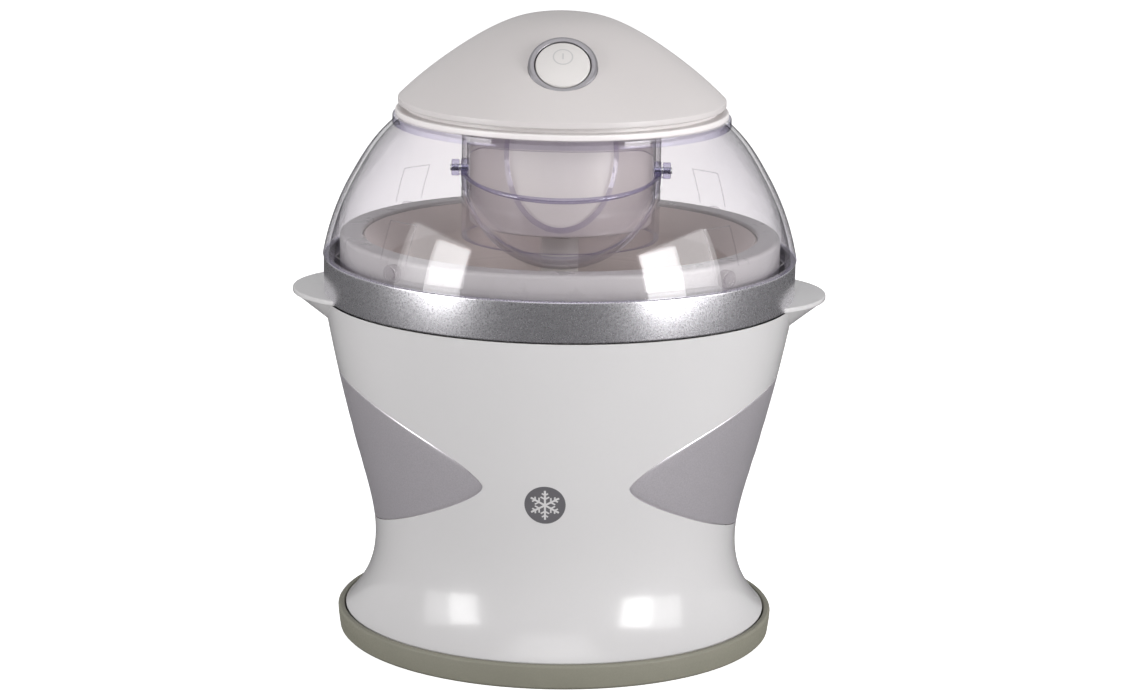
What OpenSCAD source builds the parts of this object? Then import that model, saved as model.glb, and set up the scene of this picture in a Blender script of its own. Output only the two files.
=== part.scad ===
// Freezer-bowl ice cream maker: flared housing, lift-out double-walled bowl,
// clear dome lid with a swinging filling scoop, and a geared power unit on top.
// Millimetres, Z up, the front faces -Y. The modules are drawn round the vertical axis that the bowl,
// lid and power unit share; centred() then puts the origin under the middle of the whole object.

/* [Housing] */
// Outer radius where the housing meets its rubber base ring
foot_r = 98.2; // [92:0.1:118]
// Outer radius at the waist
waist_r = 84.5; // [70:0.1:96]
// Height of the waist
waist_z = 46; // [40:0.5:55]
// Outer radius half way up the flare
flare_r = 93.7; // [88:0.1:100]
// Height of the flare radius
flare_z = 90; // [80:0.5:104]
// Height of the top edge of the housing shell
shell_top = 160; // [150:0.5:192]
// Wall of the moulded housing shell
shell_wall = 2.6; // [2:0.1:3.4]
// Depth of the side panels let into the shell
panel_depth = 1.2; // [0.8:0.1:1.5]
// Half length of a side panel, front to back
panel_reach = 88; // [70:0.5:90]
// Height of the tips of the side panels
panel_mid = 91; // [84:0.5:96]
// Rise of a side panel above its tips
panel_rise = 36; // [24:0.5:44]
// Drop of a side panel below its tips
panel_drop = 37; // [24:0.5:42]

/* [Base ring] */
// Height of the rubber base ring
ring_height = 11.8; // [9:0.1:14.2]
// How far the rubber ring stands proud of the shell
ring_proud = 3.4; // [2.4:0.1:5]
// Thickness of the ring under the shell
ring_floor = 3; // [2:0.1:4]

/* [Band and handles] */
// Outer radius of the metal band
band_r = 109; // [104:0.5:131]
// Height of the metal band
band_height = 18.4; // [16:0.1:22]
// Thickness of the metal band
band_wall = 2.2; // [1.6:0.1:2.8]
// Reach of the handle tips from the middle
handle_reach = 123.5; // [118:0.5:148]
// Plan radius of each rounded handle
handle_round = 43.5; // [34:0.5:50]
// Thickness of the handle plate
handle_plate = 2.4; // [2:0.1:4]
// Height of the moulded gusset under each handle
gusset_height = 13; // [8:0.5:18]

/* [Bowl] */
// Gap between the waist of the shell and the bowl well
well_gap = 4.9; // [3:0.1:8]
// Wall of the bowl well
well_wall = 2; // [1.6:0.1:2.6]
// Height of the underside of the bowl well
well_floor = 34; // [28:0.5:40]
// Gap between the well and the bowl
bowl_gap = 1.2; // [0.8:0.1:2]
// Wall of the outer bowl
bowl_wall = 2; // [1.6:0.1:2.6]
// Room for the freezing gel between the two walls of the bowl
gel_gap = 10; // [7:0.5:12]
// Thickness of the metal bowl liner
liner_wall = 1.2; // [1:0.1:2]
// Height of the bowl rim above the top of the metal band
rim_above_band = 10.4; // [8:0.2:12]
// Width of the white bowl rim
rim_width = 10.5; // [8:0.1:12]
// Height of the sloping shoulder of the liner
shoulder_height = 11; // [8:0.5:16]

/* [Lid] */
// Height of the clear dome, from the band to its deck
dome_height = 61.1; // [52:0.1:74]
// Wall of the clear dome
dome_wall = 2.5; // [2:0.1:3]
// Radius of the deck that the power unit sits on
deck_r = 77.8; // [74:0.1:80]
// Thickness of the deck edge
deck_edge = 4; // [3:0.1:5]
// Distance from the middle to the scoop's pivot line
scoop_reach = 74.5; // [73:0.1:76]
// Height of the scoop's pivot line below the deck
scoop_below_deck = 8.6; // [8:0.1:10]
// Gap between the scoop and the crest of the bowl rim
scoop_clear = 2; // [1.5:0.1:3]
// Wall of the scoop
scoop_wall = 2; // [1.6:0.1:2.4]
// Radius of the scoop's pivot pins
pin_r = 1.5; // [1.2:0.05:1.8]

/* [Power unit] */
// Radius of the edge of the top cover
cover_r = 75.3; // [72:0.1:77]
// Height of the top cover above its edge
cover_height = 39.3; // [34:0.1:47]
// Wall of the top cover
cover_wall = 2.6; // [2.2:0.1:3]
// Outer radius of the motor housing that hangs into the lid
hub_r = 42; // [41:0.1:43]
// Depth of the motor housing below the deck
hub_drop = 50; // [48:0.5:60]
// Radius of the motor can
motor_r = 23.5; // [20:0.5:24]
// Height of the motor can
motor_height = 40; // [30:0.5:42]
// Radius of the on-off button
button_r = 12.2; // [10:0.1:13]
// Travel of the on-off button
button_travel = 2.5; // [1.5:0.1:3]
// Angle of the button's line above the horizontal
button_tilt = 44; // [42:0.5:48]

/* [Gears] */
// Module of the gear teeth
gear_module = 1; // [0.9:0.01:1]
// Teeth on the motor pinion
pinion_teeth = 10; // [10:1:11]
// Teeth on the large wheel of the idler
idler_teeth = 26; // [24:1:26]
// Teeth on the small wheel of the idler
idler_small_teeth = 12; // [12:1:13]
// Teeth on the output gear
output_teeth = 34; // [32:1:34]
// Width of a gear face
gear_face = 6; // [5:0.1:7]
// Radius of the drive shaft
shaft_r = 5; // [4:0.1:6]

/* [Paddle] */
// Gap between the paddle and the liner
paddle_gap = 2.5; // [2:0.1:4]
// Thickness of the paddle blades
blade = 4; // [3:0.2:6]
// Radius of the paddle's hub
paddle_hub_r = 8.6; // [8:0.1:11]

/* [Hidden] */

$fn = 96;
eps = 0.01;
gap = 0.3;           // clearance between pieces that only come near each other
run = 0.05;          // radial clearance of a running fit
steps = 8;           // straight steps in each stretch of a smooth curve

// Heights of the stack, from the table up
band_bottom = shell_top + 0.3;
plate_top = shell_top + handle_plate;
band_top = band_bottom + band_height;
dome_bottom = band_top + 0.2;
deck_bottom = dome_bottom + dome_height;
deck_top = deck_bottom + deck_edge;
cover_edge_bottom = deck_top + 4.8;
cover_edge_top = cover_edge_bottom + 2.9;
cover_top = cover_edge_top + cover_height;

dome_back = band_r + 0.4;

// Smooth curves are runs of knots: [position, value, slope]
body_knots = [
    [ring_height, foot_r, -0.95],
    [waist_z, waist_r, 0],
    [flare_z, flare_r, 0.265],
    [shell_top, band_r + 0.2, 0.17]];
dome_knots = [
    [dome_bottom, dome_back, -0.18],
    [dome_bottom + 0.607 * dome_height, deck_r + 0.575 * (dome_back - deck_r), -0.57],
    [deck_bottom, deck_r, -1.15]];
cover_knots = [
    [0, cover_top, 0],
    [0.32 * cover_r, cover_top - 0.094 * cover_height, -0.38],
    [0.637 * cover_r, cover_top - 0.43 * cover_height, -0.69],
    [cover_r, cover_edge_top, -1]];

function blend(t, a, slope_a, b, slope_b) =
    (2 * t ^ 3 - 3 * t ^ 2 + 1) * a + (t ^ 3 - 2 * t ^ 2 + t) * slope_a
    + (3 * t ^ 2 - 2 * t ^ 3) * b + (t ^ 3 - t ^ 2) * slope_b;
function span_point(a, b, t) = let (d = b[0] - a[0])
    [a[0] + t * d, blend(t, a[1], a[2] * d, b[1], b[2] * d)];
function smooth(knots) = concat(
    [for (i = [0 : len(knots) - 2]) for (j = [0 : steps - 1])
        span_point(knots[i], knots[i + 1], j / steps)],
    [[knots[len(knots) - 1][0], knots[len(knots) - 1][1]]]);
function value_at(knots, x, i = 0) =
    (i == len(knots) - 2 || x <= knots[i + 1][0])
        ? span_point(knots[i], knots[i + 1], (x - knots[i][0]) / (knots[i + 1][0] - knots[i][0]))[1]
        : value_at(knots, x, i + 1);
// Height-and-radius pairs turned into radius-and-height points, moved inwards by inset
function outline(knots, inset = 0) = [for (p = smooth(knots)) [p[1] - inset, p[0]]];
function reverse(list) = [for (i = [len(list) - 1 : -1 : 0]) list[i]];

// Radii that follow from one another, outside to inside
collar_wall = 2.3;
well_inset = 14;     // how far the top of the well stands inside the band
well_least_gap = 1.6; // least gap between the well and the flare of the shell
rim_gap = 2.7;
rim_turn = 2.4;      // turned-down outer wall of the bowl rim
rim_plate = 2.2;
bowl_foot_gap = 1.5;
collar_out = band_r - band_wall - 0.2;
collar_in = collar_out - collar_wall;
well_bottom_r = waist_r - shell_wall - well_gap;
flare_room = flare_r - shell_wall - well_least_gap - well_bottom_r;
well_top_r = min(band_r - well_inset,
    well_bottom_r + flare_room * (shell_top - well_floor) / (flare_z - well_floor));
function well_r(z) = well_bottom_r
    + (well_top_r - well_bottom_r) * (z - well_floor) / (shell_top - well_floor);
function bowl_r(z) = well_r(z) - well_wall - bowl_gap;
flange_bottom = plate_top;
flange_top = flange_bottom + well_wall;
bowl_floor = well_floor + well_wall + bowl_foot_gap;
rim_bottom = flange_top + 0.2;
rim_top = band_top + rim_above_band;
rim_out = collar_in - rim_gap;
rim_in = rim_out - rim_width;
rim_lip = 2;         // rounding of the rim's inner edge, where the liner hangs
shoulder_bottom = rim_top - rim_lip - shoulder_height;
liner_top_r = bowl_r(shell_top) - bowl_wall - gel_gap;
liner_floor = bowl_floor + bowl_wall + gel_gap;
liner_bottom_r = bowl_r(liner_floor) - bowl_wall - gel_gap;
function liner_r(z) = liner_bottom_r
    + (liner_top_r - liner_bottom_r) * (z - liner_floor) / (shoulder_bottom - liner_floor);

corner = 8;          // size of the bevelled corner at the foot of the liner
cut = 2.3;           // how far the middle of that corner stands in from the square
gel_top = rim_bottom - 4;

skirt_out = band_r - band_wall - 0.4;
skirt_wall = 1.6;
skirt_drop = 4.5;
collar_top = dome_bottom - skirt_drop - 0.4;

// Scoop: a piece of a sphere that turns about a line through its own centre
scoop_z = deck_bottom - scoop_below_deck;
rim_crest = rim_in + rim_lip;
function to_segment(p, a, b) =
    let (t = max(0, min(1, (p - a) * (b - a) / ((b - a) * (b - a))))) norm(p - a - t * (b - a));
// The largest ball that clears both the crest of the bowl rim and the liner's shoulder
scoop_r = min(norm([rim_crest - scoop_reach, scoop_z - rim_top]),
    to_segment([scoop_reach, scoop_z], [liner_r(shoulder_bottom), shoulder_bottom],
        [rim_in, rim_top - rim_lip])) - scoop_clear;
scoop_lip = 9;       // angle of the scoop's front lip below the horizontal
scoop_span = 88;     // angle from its front lip to its back edge
scoop_centre = [0, -scoop_reach, scoop_z];
bead_r = 1.3;
scoop_front = scoop_reach + (scoop_r - bead_r) * cos(scoop_lip) + bead_r;
axis_y = (scoop_front - dome_back) / 2;
ear_gap = 0.5;
ear_width = 3.4;
boss_r = 4;
boss_length = 3.4;

// Power unit
hub_bottom = deck_top - hub_drop;
hub_wall = 2.2;
tube_in = hub_r + 1.4;
tube_wall = 2.4;
plate_thick = 2.7;
plate_face = deck_top + plate_thick;
post_r = 60;
cover_post_r = 4;
screw_r = 1.5;
screw_length = 14;
screw_head_r = 3.1;
screw_head = 1.2;
button_dir = [0, -cos(button_tilt), sin(button_tilt)];
button_at = 0.651 * cover_r;
button_height = value_at(cover_knots, button_at);
bezel_out = button_r + 3.3;
bezel_in = button_r + 0.5;
gland_z = cover_edge_bottom + 6.9;
gland_seat = 56;     // inner face of the gland's boss
gland_r = 4.5;
gland_flange_r = 6.2;
gland_bore = 3;

// Gear train, from the bottom of the motor housing up
output_z = hub_bottom + hub_wall + 4;
idler_z = output_z + gear_face + 1;
gear_plate_z = idler_z + gear_face + 1.5;
gear_plate_t = 2;
motor_z = gear_plate_z + gear_plate_t;
motor_y = 14;
motor_screw_angles = [160, 200];
motor_screw_reach = motor_r - 5;
motor_screw_r = 1.3;
motor_head = 1.2;
near_mesh = gear_module * (pinion_teeth + idler_teeth) / 2;
far_mesh = gear_module * (idler_small_teeth + output_teeth) / 2;
idler_y = (far_mesh ^ 2 - near_mesh ^ 2 + motor_y ^ 2) / (2 * motor_y);
idler_x = sqrt(far_mesh ^ 2 - idler_y ^ 2);
to_idler = atan2(idler_y, idler_x);
motor_to_idler = atan2(idler_y - motor_y, idler_x);

// Paddle
socket_side = 7;
socket_depth = 18;
paddle_top = hub_bottom - 6.5;
shaft_end = paddle_top - socket_depth + 1;
paddle_floor = liner_floor + liner_wall + paddle_gap;
blade_top = shoulder_bottom - 10;

white = [0.86, 0.85, 0.83];
grey_metal = [0.64, 0.63, 0.66];
clear = [0.88, 0.86, 0.93, 0.4];
steel = [0.7, 0.7, 0.72];
nylon = [0.93, 0.92, 0.86];

module centred() translate([0, axis_y, 0]) children();
module turned(points) rotate_extrude() polygon(points);
module tube(r_out, r_in, z0, z1) translate([0, 0, z0]) difference() {
    cylinder(r = r_out, h = z1 - z0);
    translate([0, 0, -1]) cylinder(r = r_in, h = z1 - z0 + 2);
}
module around(angles, r) for (a = angles) rotate([0, 0, a]) translate([r, 0, 0]) children();
// A screw with its head down and its thread up
module screw(thread_r, length, head_r, head_h) {
    cylinder(r = head_r, h = head_h);
    translate([0, 0, head_h - eps]) cylinder(r = thread_r, h = length);
}
// Solid of the housing's outside, moved inwards by inset
module housing_solid(inset) turned(concat(
    [[0, plate_floor], [foot_r - foot_inset - inset, plate_floor]],
    outline(body_knots, inset), [[0, shell_top]]));

screw_angles = [45, 135, 225, 315];
base_post_r = waist_r - 2;
plate_floor = ring_floor + gap;
plate_t = 2.4;
foot_inset = 0.4;    // how far the shell's foot stands inside the flare's lower edge
base_post_wall = 3.1;
base_screw_r = 1.5;
base_head_r = 3.2;
base_head = 1.9;
base_screw_length = 12;
vent_r = 40;
vent_length = 20;
vent_width = 3;

// ---------- Housing ----------
module base_ring() color([0.56, 0.57, 0.5]) turned([
    [foot_r - 10, 0], [foot_r + 1.4, 0], [foot_r + 2.4, 1], [foot_r + ring_proud, 7],
    [foot_r + ring_proud + 0.3, ring_height - 1.2], [foot_r + ring_proud - 0.5, ring_height],
    [foot_r + 0.6, ring_height], [foot_r + 0.3, ring_floor], [foot_r - 10, ring_floor]]);

module base_plate() color([0.8, 0.8, 0.78]) difference() {
    translate([0, 0, plate_floor])
        cylinder(r = foot_r - foot_inset - shell_wall - gap, h = plate_t);
    around(screw_angles, base_post_r) translate([0, 0, plate_floor - 1])
        cylinder(r = base_screw_r + gap, h = plate_t + 2);
    around([0 : 30 : 330], vent_r) translate([-vent_length / 2, -vent_width / 2, plate_floor - 1])
        cube([vent_length, vent_width, plate_t + 2]);
}

module base_screws() color(steel) around(screw_angles, base_post_r)
    translate([0, 0, plate_floor - base_head])
        screw(base_screw_r, base_screw_length, base_head_r, base_head);

module handle_plan(grow = 0) for (side = [-1, 1])
    translate([side * (handle_reach - handle_round), 0]) circle(r = handle_round + grow);

module body_shell() color(white) {
    difference() {
        union() {
            difference() {
                union() {
                    housing_solid(0);
                    gussets(0);
                }
                turned(concat([[0, ring_floor], [foot_r - foot_inset - shell_wall, ring_floor]],
                    outline(body_knots, shell_wall),
                    [[band_r + 0.2 - shell_wall, shell_top + 1], [0, shell_top + 1]]));
                gussets(shell_wall);
            }
            intersection() {
                around(screw_angles, base_post_r) translate([0, 0, plate_floor + plate_t])
                    cylinder(r = base_screw_r + base_post_wall, h = well_floor - 10);
                housing_solid(eps);
            }
        }
        around(screw_angles, base_post_r) translate([0, 0, plate_floor])
            cylinder(r = base_screw_r, h = base_screw_length + 4);
        side_recess(1);
        side_recess(-1);
    }
}

gusset_slope = 17;   // how far the foot of a gusset stands inside the handle's edge
// Cone under each handle; the inner one starts a wall lower in radius and is open at the top
module gussets(inset) for (side = [-1, 1])
    translate([side * (handle_reach - handle_round), 0, shell_top - gusset_height + inset])
        cylinder(r1 = handle_round - gusset_slope - 0.6 * inset, r2 = handle_round - 1 - inset,
            h = gusset_height - inset + (inset > 0 ? eps : 0));

function power_of(v, n) = sign(v) * abs(v) ^ n;
upper_fullness = 2.2; // 2 is an ellipse, less is more pointed
lower_fullness = 1.6;
module side_prism(side) rotate([90, 0, 90 - (side < 0 ? 180 : 0)]) linear_extrude(2 * band_r)
    polygon([for (a = [0 : 6 : 354])
        let (up = sin(a) >= 0, power = 2 / (up ? upper_fullness : lower_fullness))
        [panel_reach * power_of(cos(a), power),
         panel_mid + (up ? panel_rise : panel_drop) * power_of(sin(a), power)]]);
module side_recess(side) difference() {
    side_prism(side);
    housing_solid(panel_depth);
}
module side_panel(side) color(grey_metal) difference() {
    intersection() {
        housing_solid(0);
        side_prism(side);
    }
    housing_solid(panel_depth);
}
module left_side_panel() side_panel(-1);
module right_side_panel() side_panel(1);

module handle_ring() color(white) {
    difference() {
        translate([0, 0, shell_top]) linear_extrude(handle_plate) union() {
            circle(r = collar_out);
            handle_plan();
        }
        translate([0, 0, shell_top - 1]) cylinder(r = well_r(plate_top) + gap, h = handle_plate + 2);
    }
    tube(collar_out, collar_in, plate_top - eps, collar_top);
}

module metal_band() color([0.7, 0.69, 0.71]) difference() {
    tube(band_r, band_r - band_wall, band_bottom, band_top);
    translate([0, 0, band_bottom - 1]) linear_extrude(plate_top - band_bottom + 1 + gap)
        handle_plan(gap);
}

module bowl_well() color([0.82, 0.82, 0.8]) turned([
    [0, well_floor], [well_r(well_floor), well_floor], [well_r(flange_bottom), flange_bottom],
    [collar_in - gap, flange_bottom], [collar_in - gap, flange_top],
    [well_r(flange_top) - well_wall, flange_top],
    [well_r(well_floor) - well_wall, well_floor + well_wall], [0, well_floor + well_wall]]);

// ---------- Bowl ----------
module bowl_shell() color(white) turned([
    [0, bowl_floor], [bowl_r(bowl_floor), bowl_floor], [bowl_r(rim_bottom), rim_bottom],
    [bowl_r(rim_bottom) - bowl_wall, rim_bottom],
    [bowl_r(bowl_floor + bowl_wall) - bowl_wall, bowl_floor + bowl_wall],
    [0, bowl_floor + bowl_wall]]);

module freezing_gel() color([0.6, 0.75, 0.9]) turned([
    [0, bowl_floor + bowl_wall],
    [bowl_r(bowl_floor + bowl_wall) - bowl_wall - gap, bowl_floor + bowl_wall],
    [bowl_r(gel_top) - bowl_wall - gap, gel_top], [liner_r(gel_top) + gap, gel_top],
    [liner_r(liner_floor + corner) + gap, liner_floor + corner],
    [liner_r(liner_floor + cut) - cut + gap, liner_floor + cut - gap],
    [liner_r(liner_floor) - corner, liner_floor - gap], [0, liner_floor - gap]]);

module bowl_liner() color([0.66, 0.63, 0.6]) turned([
    [0, liner_floor], [liner_r(liner_floor) - corner, liner_floor],
    [liner_r(liner_floor + cut) - cut, liner_floor + cut],
    [liner_r(liner_floor + corner), liner_floor + corner],
    [liner_r(shoulder_bottom), shoulder_bottom], [rim_in, rim_top - rim_lip],
    [rim_in - 0.9 * liner_wall, rim_top - 0.7 * rim_lip],
    [liner_r(shoulder_bottom) - liner_wall, shoulder_bottom + 0.8],
    [liner_r(liner_floor + corner) - liner_wall, liner_floor + corner],
    [liner_r(liner_floor + cut) - cut - 0.9, liner_floor + cut + 0.9],
    [liner_r(liner_floor) - corner, liner_floor + liner_wall], [0, liner_floor + liner_wall]]);

module bowl_rim() color(white) turned([
    [bowl_r(rim_bottom) - bowl_wall - rim_lip, rim_bottom], [rim_out, rim_bottom],
    [rim_out, rim_top - rim_turn], [rim_out - 0.3 * rim_turn, rim_top - 0.3 * rim_turn],
    [rim_out - rim_turn, rim_top], [rim_in + rim_lip, rim_top],
    [rim_in + 0.3 * rim_lip, rim_top - 0.3 * rim_lip], [rim_in, rim_top - rim_lip],
    [rim_in + rim_turn, rim_top - 2 * rim_lip], [rim_out - rim_turn, rim_top - 2 * rim_lip],
    [rim_out - rim_turn, rim_bottom + rim_plate],
    [bowl_r(rim_bottom) - bowl_wall - rim_lip, rim_bottom + rim_plate]]);

// ---------- Paddle ----------
function blade_r(z) = liner_r(z) - liner_wall - paddle_gap;
blade_corner = 12;
arm_end = 9;         // width of a blade's upright
arm_heights = [14, 58]; // how far below the blade's top each cross arm ends
module upright(points) rotate([90, 0, 0]) translate([0, 0, -blade / 2])
    linear_extrude(blade) polygon(points);
module paddle() color(nylon) difference() {
    union() {
        translate([0, 0, paddle_floor]) cylinder(r = paddle_hub_r, h = paddle_top - paddle_floor);
        for (side = [0, 180]) rotate([0, 0, side]) {
            upright([[0, paddle_floor], [blade_r(paddle_floor) - blade_corner, paddle_floor],
                [blade_r(paddle_floor + blade_corner), paddle_floor + blade_corner],
                [blade_r(blade_top), blade_top],
                [blade_r(blade_top) - arm_end, blade_top],
                [blade_r(paddle_floor + 2 * arm_end) - arm_end, paddle_floor + 2 * arm_end],
                [blade_r(paddle_floor) - 2 * arm_end, paddle_floor + arm_end - 1],
                [0, paddle_floor + arm_end - 1]]);
            for (down = arm_heights) upright([
                [0, blade_top - down - 2 * arm_end],
                [blade_r(blade_top - down - arm_end) - arm_end + 1, blade_top - down - arm_end],
                [blade_r(blade_top - down) - arm_end + 1, blade_top - down],
                [0, blade_top - down - arm_end + 1]]);
        }
    }
    translate([-socket_side / 2 - run, -socket_side / 2 - run, paddle_top - socket_depth])
        cube([socket_side + 2 * run, socket_side + 2 * run, socket_depth + 1]);
}

// ---------- Lid ----------
lock_angles = [-46.5, -133.5, 46.5, 133.5];
lock_rise = 4.9;     // height of the locking bosses above the foot of the dome
lock_r = 4.2;
lock_depth = 3.6;
lock_bore = 2.5;
frame_half = 8;
frame_rise = 10;
frame_height = 17;
frame_depth = 0.6;
deck_plate = 2.4;
tube_drop = 7;       // how far the tube of the lid reaches below the motor housing
tube_foot = hub_bottom - tube_drop;
foot_plate = 2.2;    // thickness of the ledge inside the foot of the dome
window_turn = 11;    // plan radius of the window's upper corners
window_gap = 0.6;
ear_r = 3.6;
pin_proud = 0.6;
module dome_core(inset) turned(concat([[0, dome_bottom - eps], [dome_back - inset, dome_bottom - eps]],
    outline(dome_knots, inset), [[0, deck_bottom]]));
module lid_dome() color(clear) difference() {
    union() {
        turned(concat(outline(dome_knots), [[deck_r, deck_top], [tube_in, deck_top],
            [tube_in, tube_foot], [tube_in + tube_wall, tube_foot],
            [tube_in + tube_wall, deck_top - deck_plate], [deck_r - dome_wall, deck_top - deck_plate]],
            [for (p = reverse(outline(dome_knots, dome_wall))) if (p[1] > dome_bottom + foot_plate) p],
            [[skirt_out - skirt_wall, dome_bottom + foot_plate],
            [skirt_out - skirt_wall, dome_bottom - skirt_drop],
            [skirt_out, dome_bottom - skirt_drop], [skirt_out, dome_bottom]]));
        lock_bosses();
        ears();
    }
    scoop_window();
    lock_windows();
    scoop_pin_bores();
}
module lock_bosses() for (a = lock_angles) rotate([0, 0, a])
    translate([value_at(dome_knots, dome_bottom + lock_rise) - 3, 0, dome_bottom + lock_rise])
        rotate([0, 90, 0]) difference() {
            cylinder(r = lock_r, h = lock_depth);
            translate([0, 0, lock_depth - 1]) cylinder(r = lock_bore, h = 2);
        }
module lock_windows() for (a = lock_angles) rotate([0, 0, a]) difference() {
    translate([band_r / 2, -frame_half, dome_bottom + frame_rise])
        cube([band_r, 2 * frame_half, frame_height]);
    rotate([0, 0, -a]) dome_core(frame_depth);
}
module ears() for (side = [-1, 1])
    translate([side * (scoop_r + ear_gap + ear_width / 2), -scoop_reach, scoop_z]) rotate([0, 90, 0])
        cylinder(r = ear_r, h = ear_width, center = true);
module scoop_window() intersection() {
    translate(scoop_centre) sphere(r = scoop_r + window_gap);
    window_prism();
}
window_top = deck_bottom - window_gap;
module window_prism() rotate([90, 0, 0]) linear_extrude(2 * band_r) union() {
    translate([-scoop_r - 2, 0]) square([2 * scoop_r + 4, window_top - window_turn + window_gap]);
    translate([-scoop_r + window_turn - 1, 0]) square([2 * (scoop_r - window_turn + 1), window_top]);
    for (side = [-1, 1]) translate([side * (scoop_r - window_turn), window_top - window_turn])
        circle(r = window_turn);
}
// Bores for the pins, with room for the scoop's own bosses inside them
module scoop_pin_bores() for (side = [-1, 1]) translate([side * scoop_r, -scoop_reach, scoop_z])
    rotate([0, 90, 0]) {
        cylinder(r = pin_r, h = 20, center = true);
        translate([0, 0, side < 0 ? -ear_gap : -boss_length - ear_gap])
            cylinder(r = boss_r + ear_gap, h = boss_length + 2 * ear_gap);
    }

pin_length = 8;
module scoop_pins() color(steel) for (side = [-1, 1])
    translate([side * (scoop_r + ear_gap + ear_width + pin_proud - pin_length / 2), -scoop_reach, scoop_z])
        rotate([0, 90, 0]) cylinder(r = pin_r, h = pin_length, center = true);

// The scoop: a spherical shell between two planes through its pivot line, with a lip bead
module scoop() color(clear) difference() {
    translate(scoop_centre) union() {
        rotate([scoop_lip, 0, 0]) {
            intersection() {
                difference() {
                    sphere(r = scoop_r);
                    sphere(r = scoop_r - scoop_wall);
                }
                rotate([0, 90, 0]) wedge();
            }
            rotate([0, 0, 180]) rotate_extrude(angle = 180) translate([scoop_r - bead_r, 0])
                circle(r = bead_r);
        }
        for (side = [-1, 1]) translate([side * (scoop_r - gap - boss_length / 2), 0, 0]) rotate([0, 90, 0])
            cylinder(r = boss_r, h = boss_length, center = true);
    }
    translate(scoop_centre) rotate([0, 90, 0])
        cylinder(r = pin_r + run, h = 2 * scoop_r + 10, center = true);
}
// Sector about the pivot line that starts at the front and goes down and back
module wedge() translate([0, 0, -scoop_r - 5]) linear_extrude(2 * scoop_r + 10) polygon([[0, 0],
    [0, -2 * scoop_r], [2 * scoop_r, -2 * scoop_r],
    [2 * scoop_r, -2 * scoop_r * cos(scoop_span) / sin(scoop_span)]]);

// ---------- Power unit ----------
head_gap = 0.3;
seat_r = 1.6;        // how far the button's socket in the cover stands outside its ring
socket_t = 9;
bezel_lip = 2.2;
bezel_depth = 8;
bezel_wall = 1.35;
bezel_rise = 0.8;
crown_r = 40;        // radius of the button's domed face
crown = 2.6;
button_skirt = 5;
plunger_r = 4;
plunger_end = 10.8;
module to_button() translate([0, -button_at, button_height]) rotate([90 - button_tilt, 0, 0]) children();

module cover_outside(drop) turned(concat([[0, cover_edge_bottom - drop]],
    [[cover_r - 0.9 - drop, cover_edge_bottom - drop], [cover_r - drop, cover_edge_bottom + 0.9]],
    reverse([for (p = smooth(cover_knots)) [max(p[0] - drop, 0), p[1] - drop]])));
module top_cover() color(white) difference() {
    union() {
        difference() {
            cover_outside(0);
            cover_outside(cover_wall);
        }
        intersection() {
            cover_outside(0);
            union() {
                around(screw_angles, post_r) translate([0, 0, cover_edge_bottom])
                    cylinder(r = cover_post_r, h = 30);
                to_button() translate([0, 0, -socket_t])
                    cylinder(r = bezel_out + seat_r, h = socket_t + 3);
            }
        }
        to_button() translate([0, 0, -socket_t]) cylinder(r = bezel_out + seat_r, h = socket_t);
        around(screw_angles, post_r) translate([0, 0, plate_face])
            cylinder(r = cover_post_r, h = cover_edge_bottom - plate_face + 1);
        translate([0, gland_seat, gland_z]) rotate([-90, 0, 0])
            cylinder(r = gland_flange_r + 0.6, h = cover_r - gland_seat);
    }
    to_button() {
        cylinder(r = bezel_out + seat_r, h = 12);
        translate([0, 0, -bezel_lip]) cylinder(r = bezel_out + gap / 2, h = 4);
        translate([0, 0, -socket_t - 3]) cylinder(r = bezel_in + bezel_wall + gap / 2, h = 14);
    }
    around(screw_angles, post_r) translate([0, 0, plate_face - 1]) cylinder(r = screw_r, h = screw_length);
    translate([0, gland_seat - 5, gland_z]) rotate([-90, 0, 0]) cylinder(r = gland_r + 0.1, h = 30);
}

plate_inset = 1.3;
spigot_r = cover_r - cover_wall - 1;
spigot_wall = 2.2;
bush_wall = 2;
module lower_cover() color(white) difference() {
    turned([[0, hub_bottom], [hub_r - 1, hub_bottom], [hub_r, hub_bottom + 1], [hub_r, deck_top],
        [deck_r - plate_inset, deck_top], [deck_r - plate_inset, plate_face],
        [spigot_r, plate_face], [spigot_r, cover_edge_bottom],
        [spigot_r - spigot_wall, cover_edge_bottom], [spigot_r - spigot_wall, plate_face],
        [hub_r - hub_wall, plate_face],
        [hub_r - hub_wall, hub_bottom + hub_wall], [0, hub_bottom + hub_wall]]);
    translate([0, 0, hub_bottom - 1]) cylinder(r = shaft_r + bush_wall, h = hub_wall + 2);
    around(screw_angles, post_r) translate([0, 0, deck_top - 1]) cylinder(r = screw_r + head_gap, h = 10);
    around(screw_angles, post_r) translate([0, 0, deck_top - 1])
        cylinder(r = screw_head_r + head_gap, h = screw_head + 1.2);
}

module cover_screws() color(steel) around(screw_angles, post_r)
    translate([0, 0, deck_top + 0.1]) screw(screw_r, screw_length, screw_head_r, screw_head);

module gear_plate() color(steel) difference() {
    union() {
        translate([0, 0, gear_plate_z]) cylinder(r = hub_r - hub_wall - gap, h = gear_plate_t);
        around([90, 210, 330], hub_r - hub_wall - 4.4) translate([0, 0, hub_bottom + hub_wall])
            cylinder(r = 2, h = gear_plate_z - hub_bottom - hub_wall + eps);
    }
    translate([0, motor_y, gear_plate_z - 1]) cylinder(r = 4, h = gear_plate_t + 2);
    translate([idler_x, idler_y, gear_plate_z - 1]) cylinder(r = axle_r, h = gear_plate_t + 2);
    translate([0, motor_y, gear_plate_z - 1]) around(motor_screw_angles, motor_screw_reach)
        cylinder(r = motor_screw_r + gap, h = gear_plate_t + 2);
}
module motor_screws() color(steel) translate([0, motor_y, gear_plate_z - motor_head])
    around(motor_screw_angles, motor_screw_reach) screw(motor_screw_r, 6, 2.4, motor_head);

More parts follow.
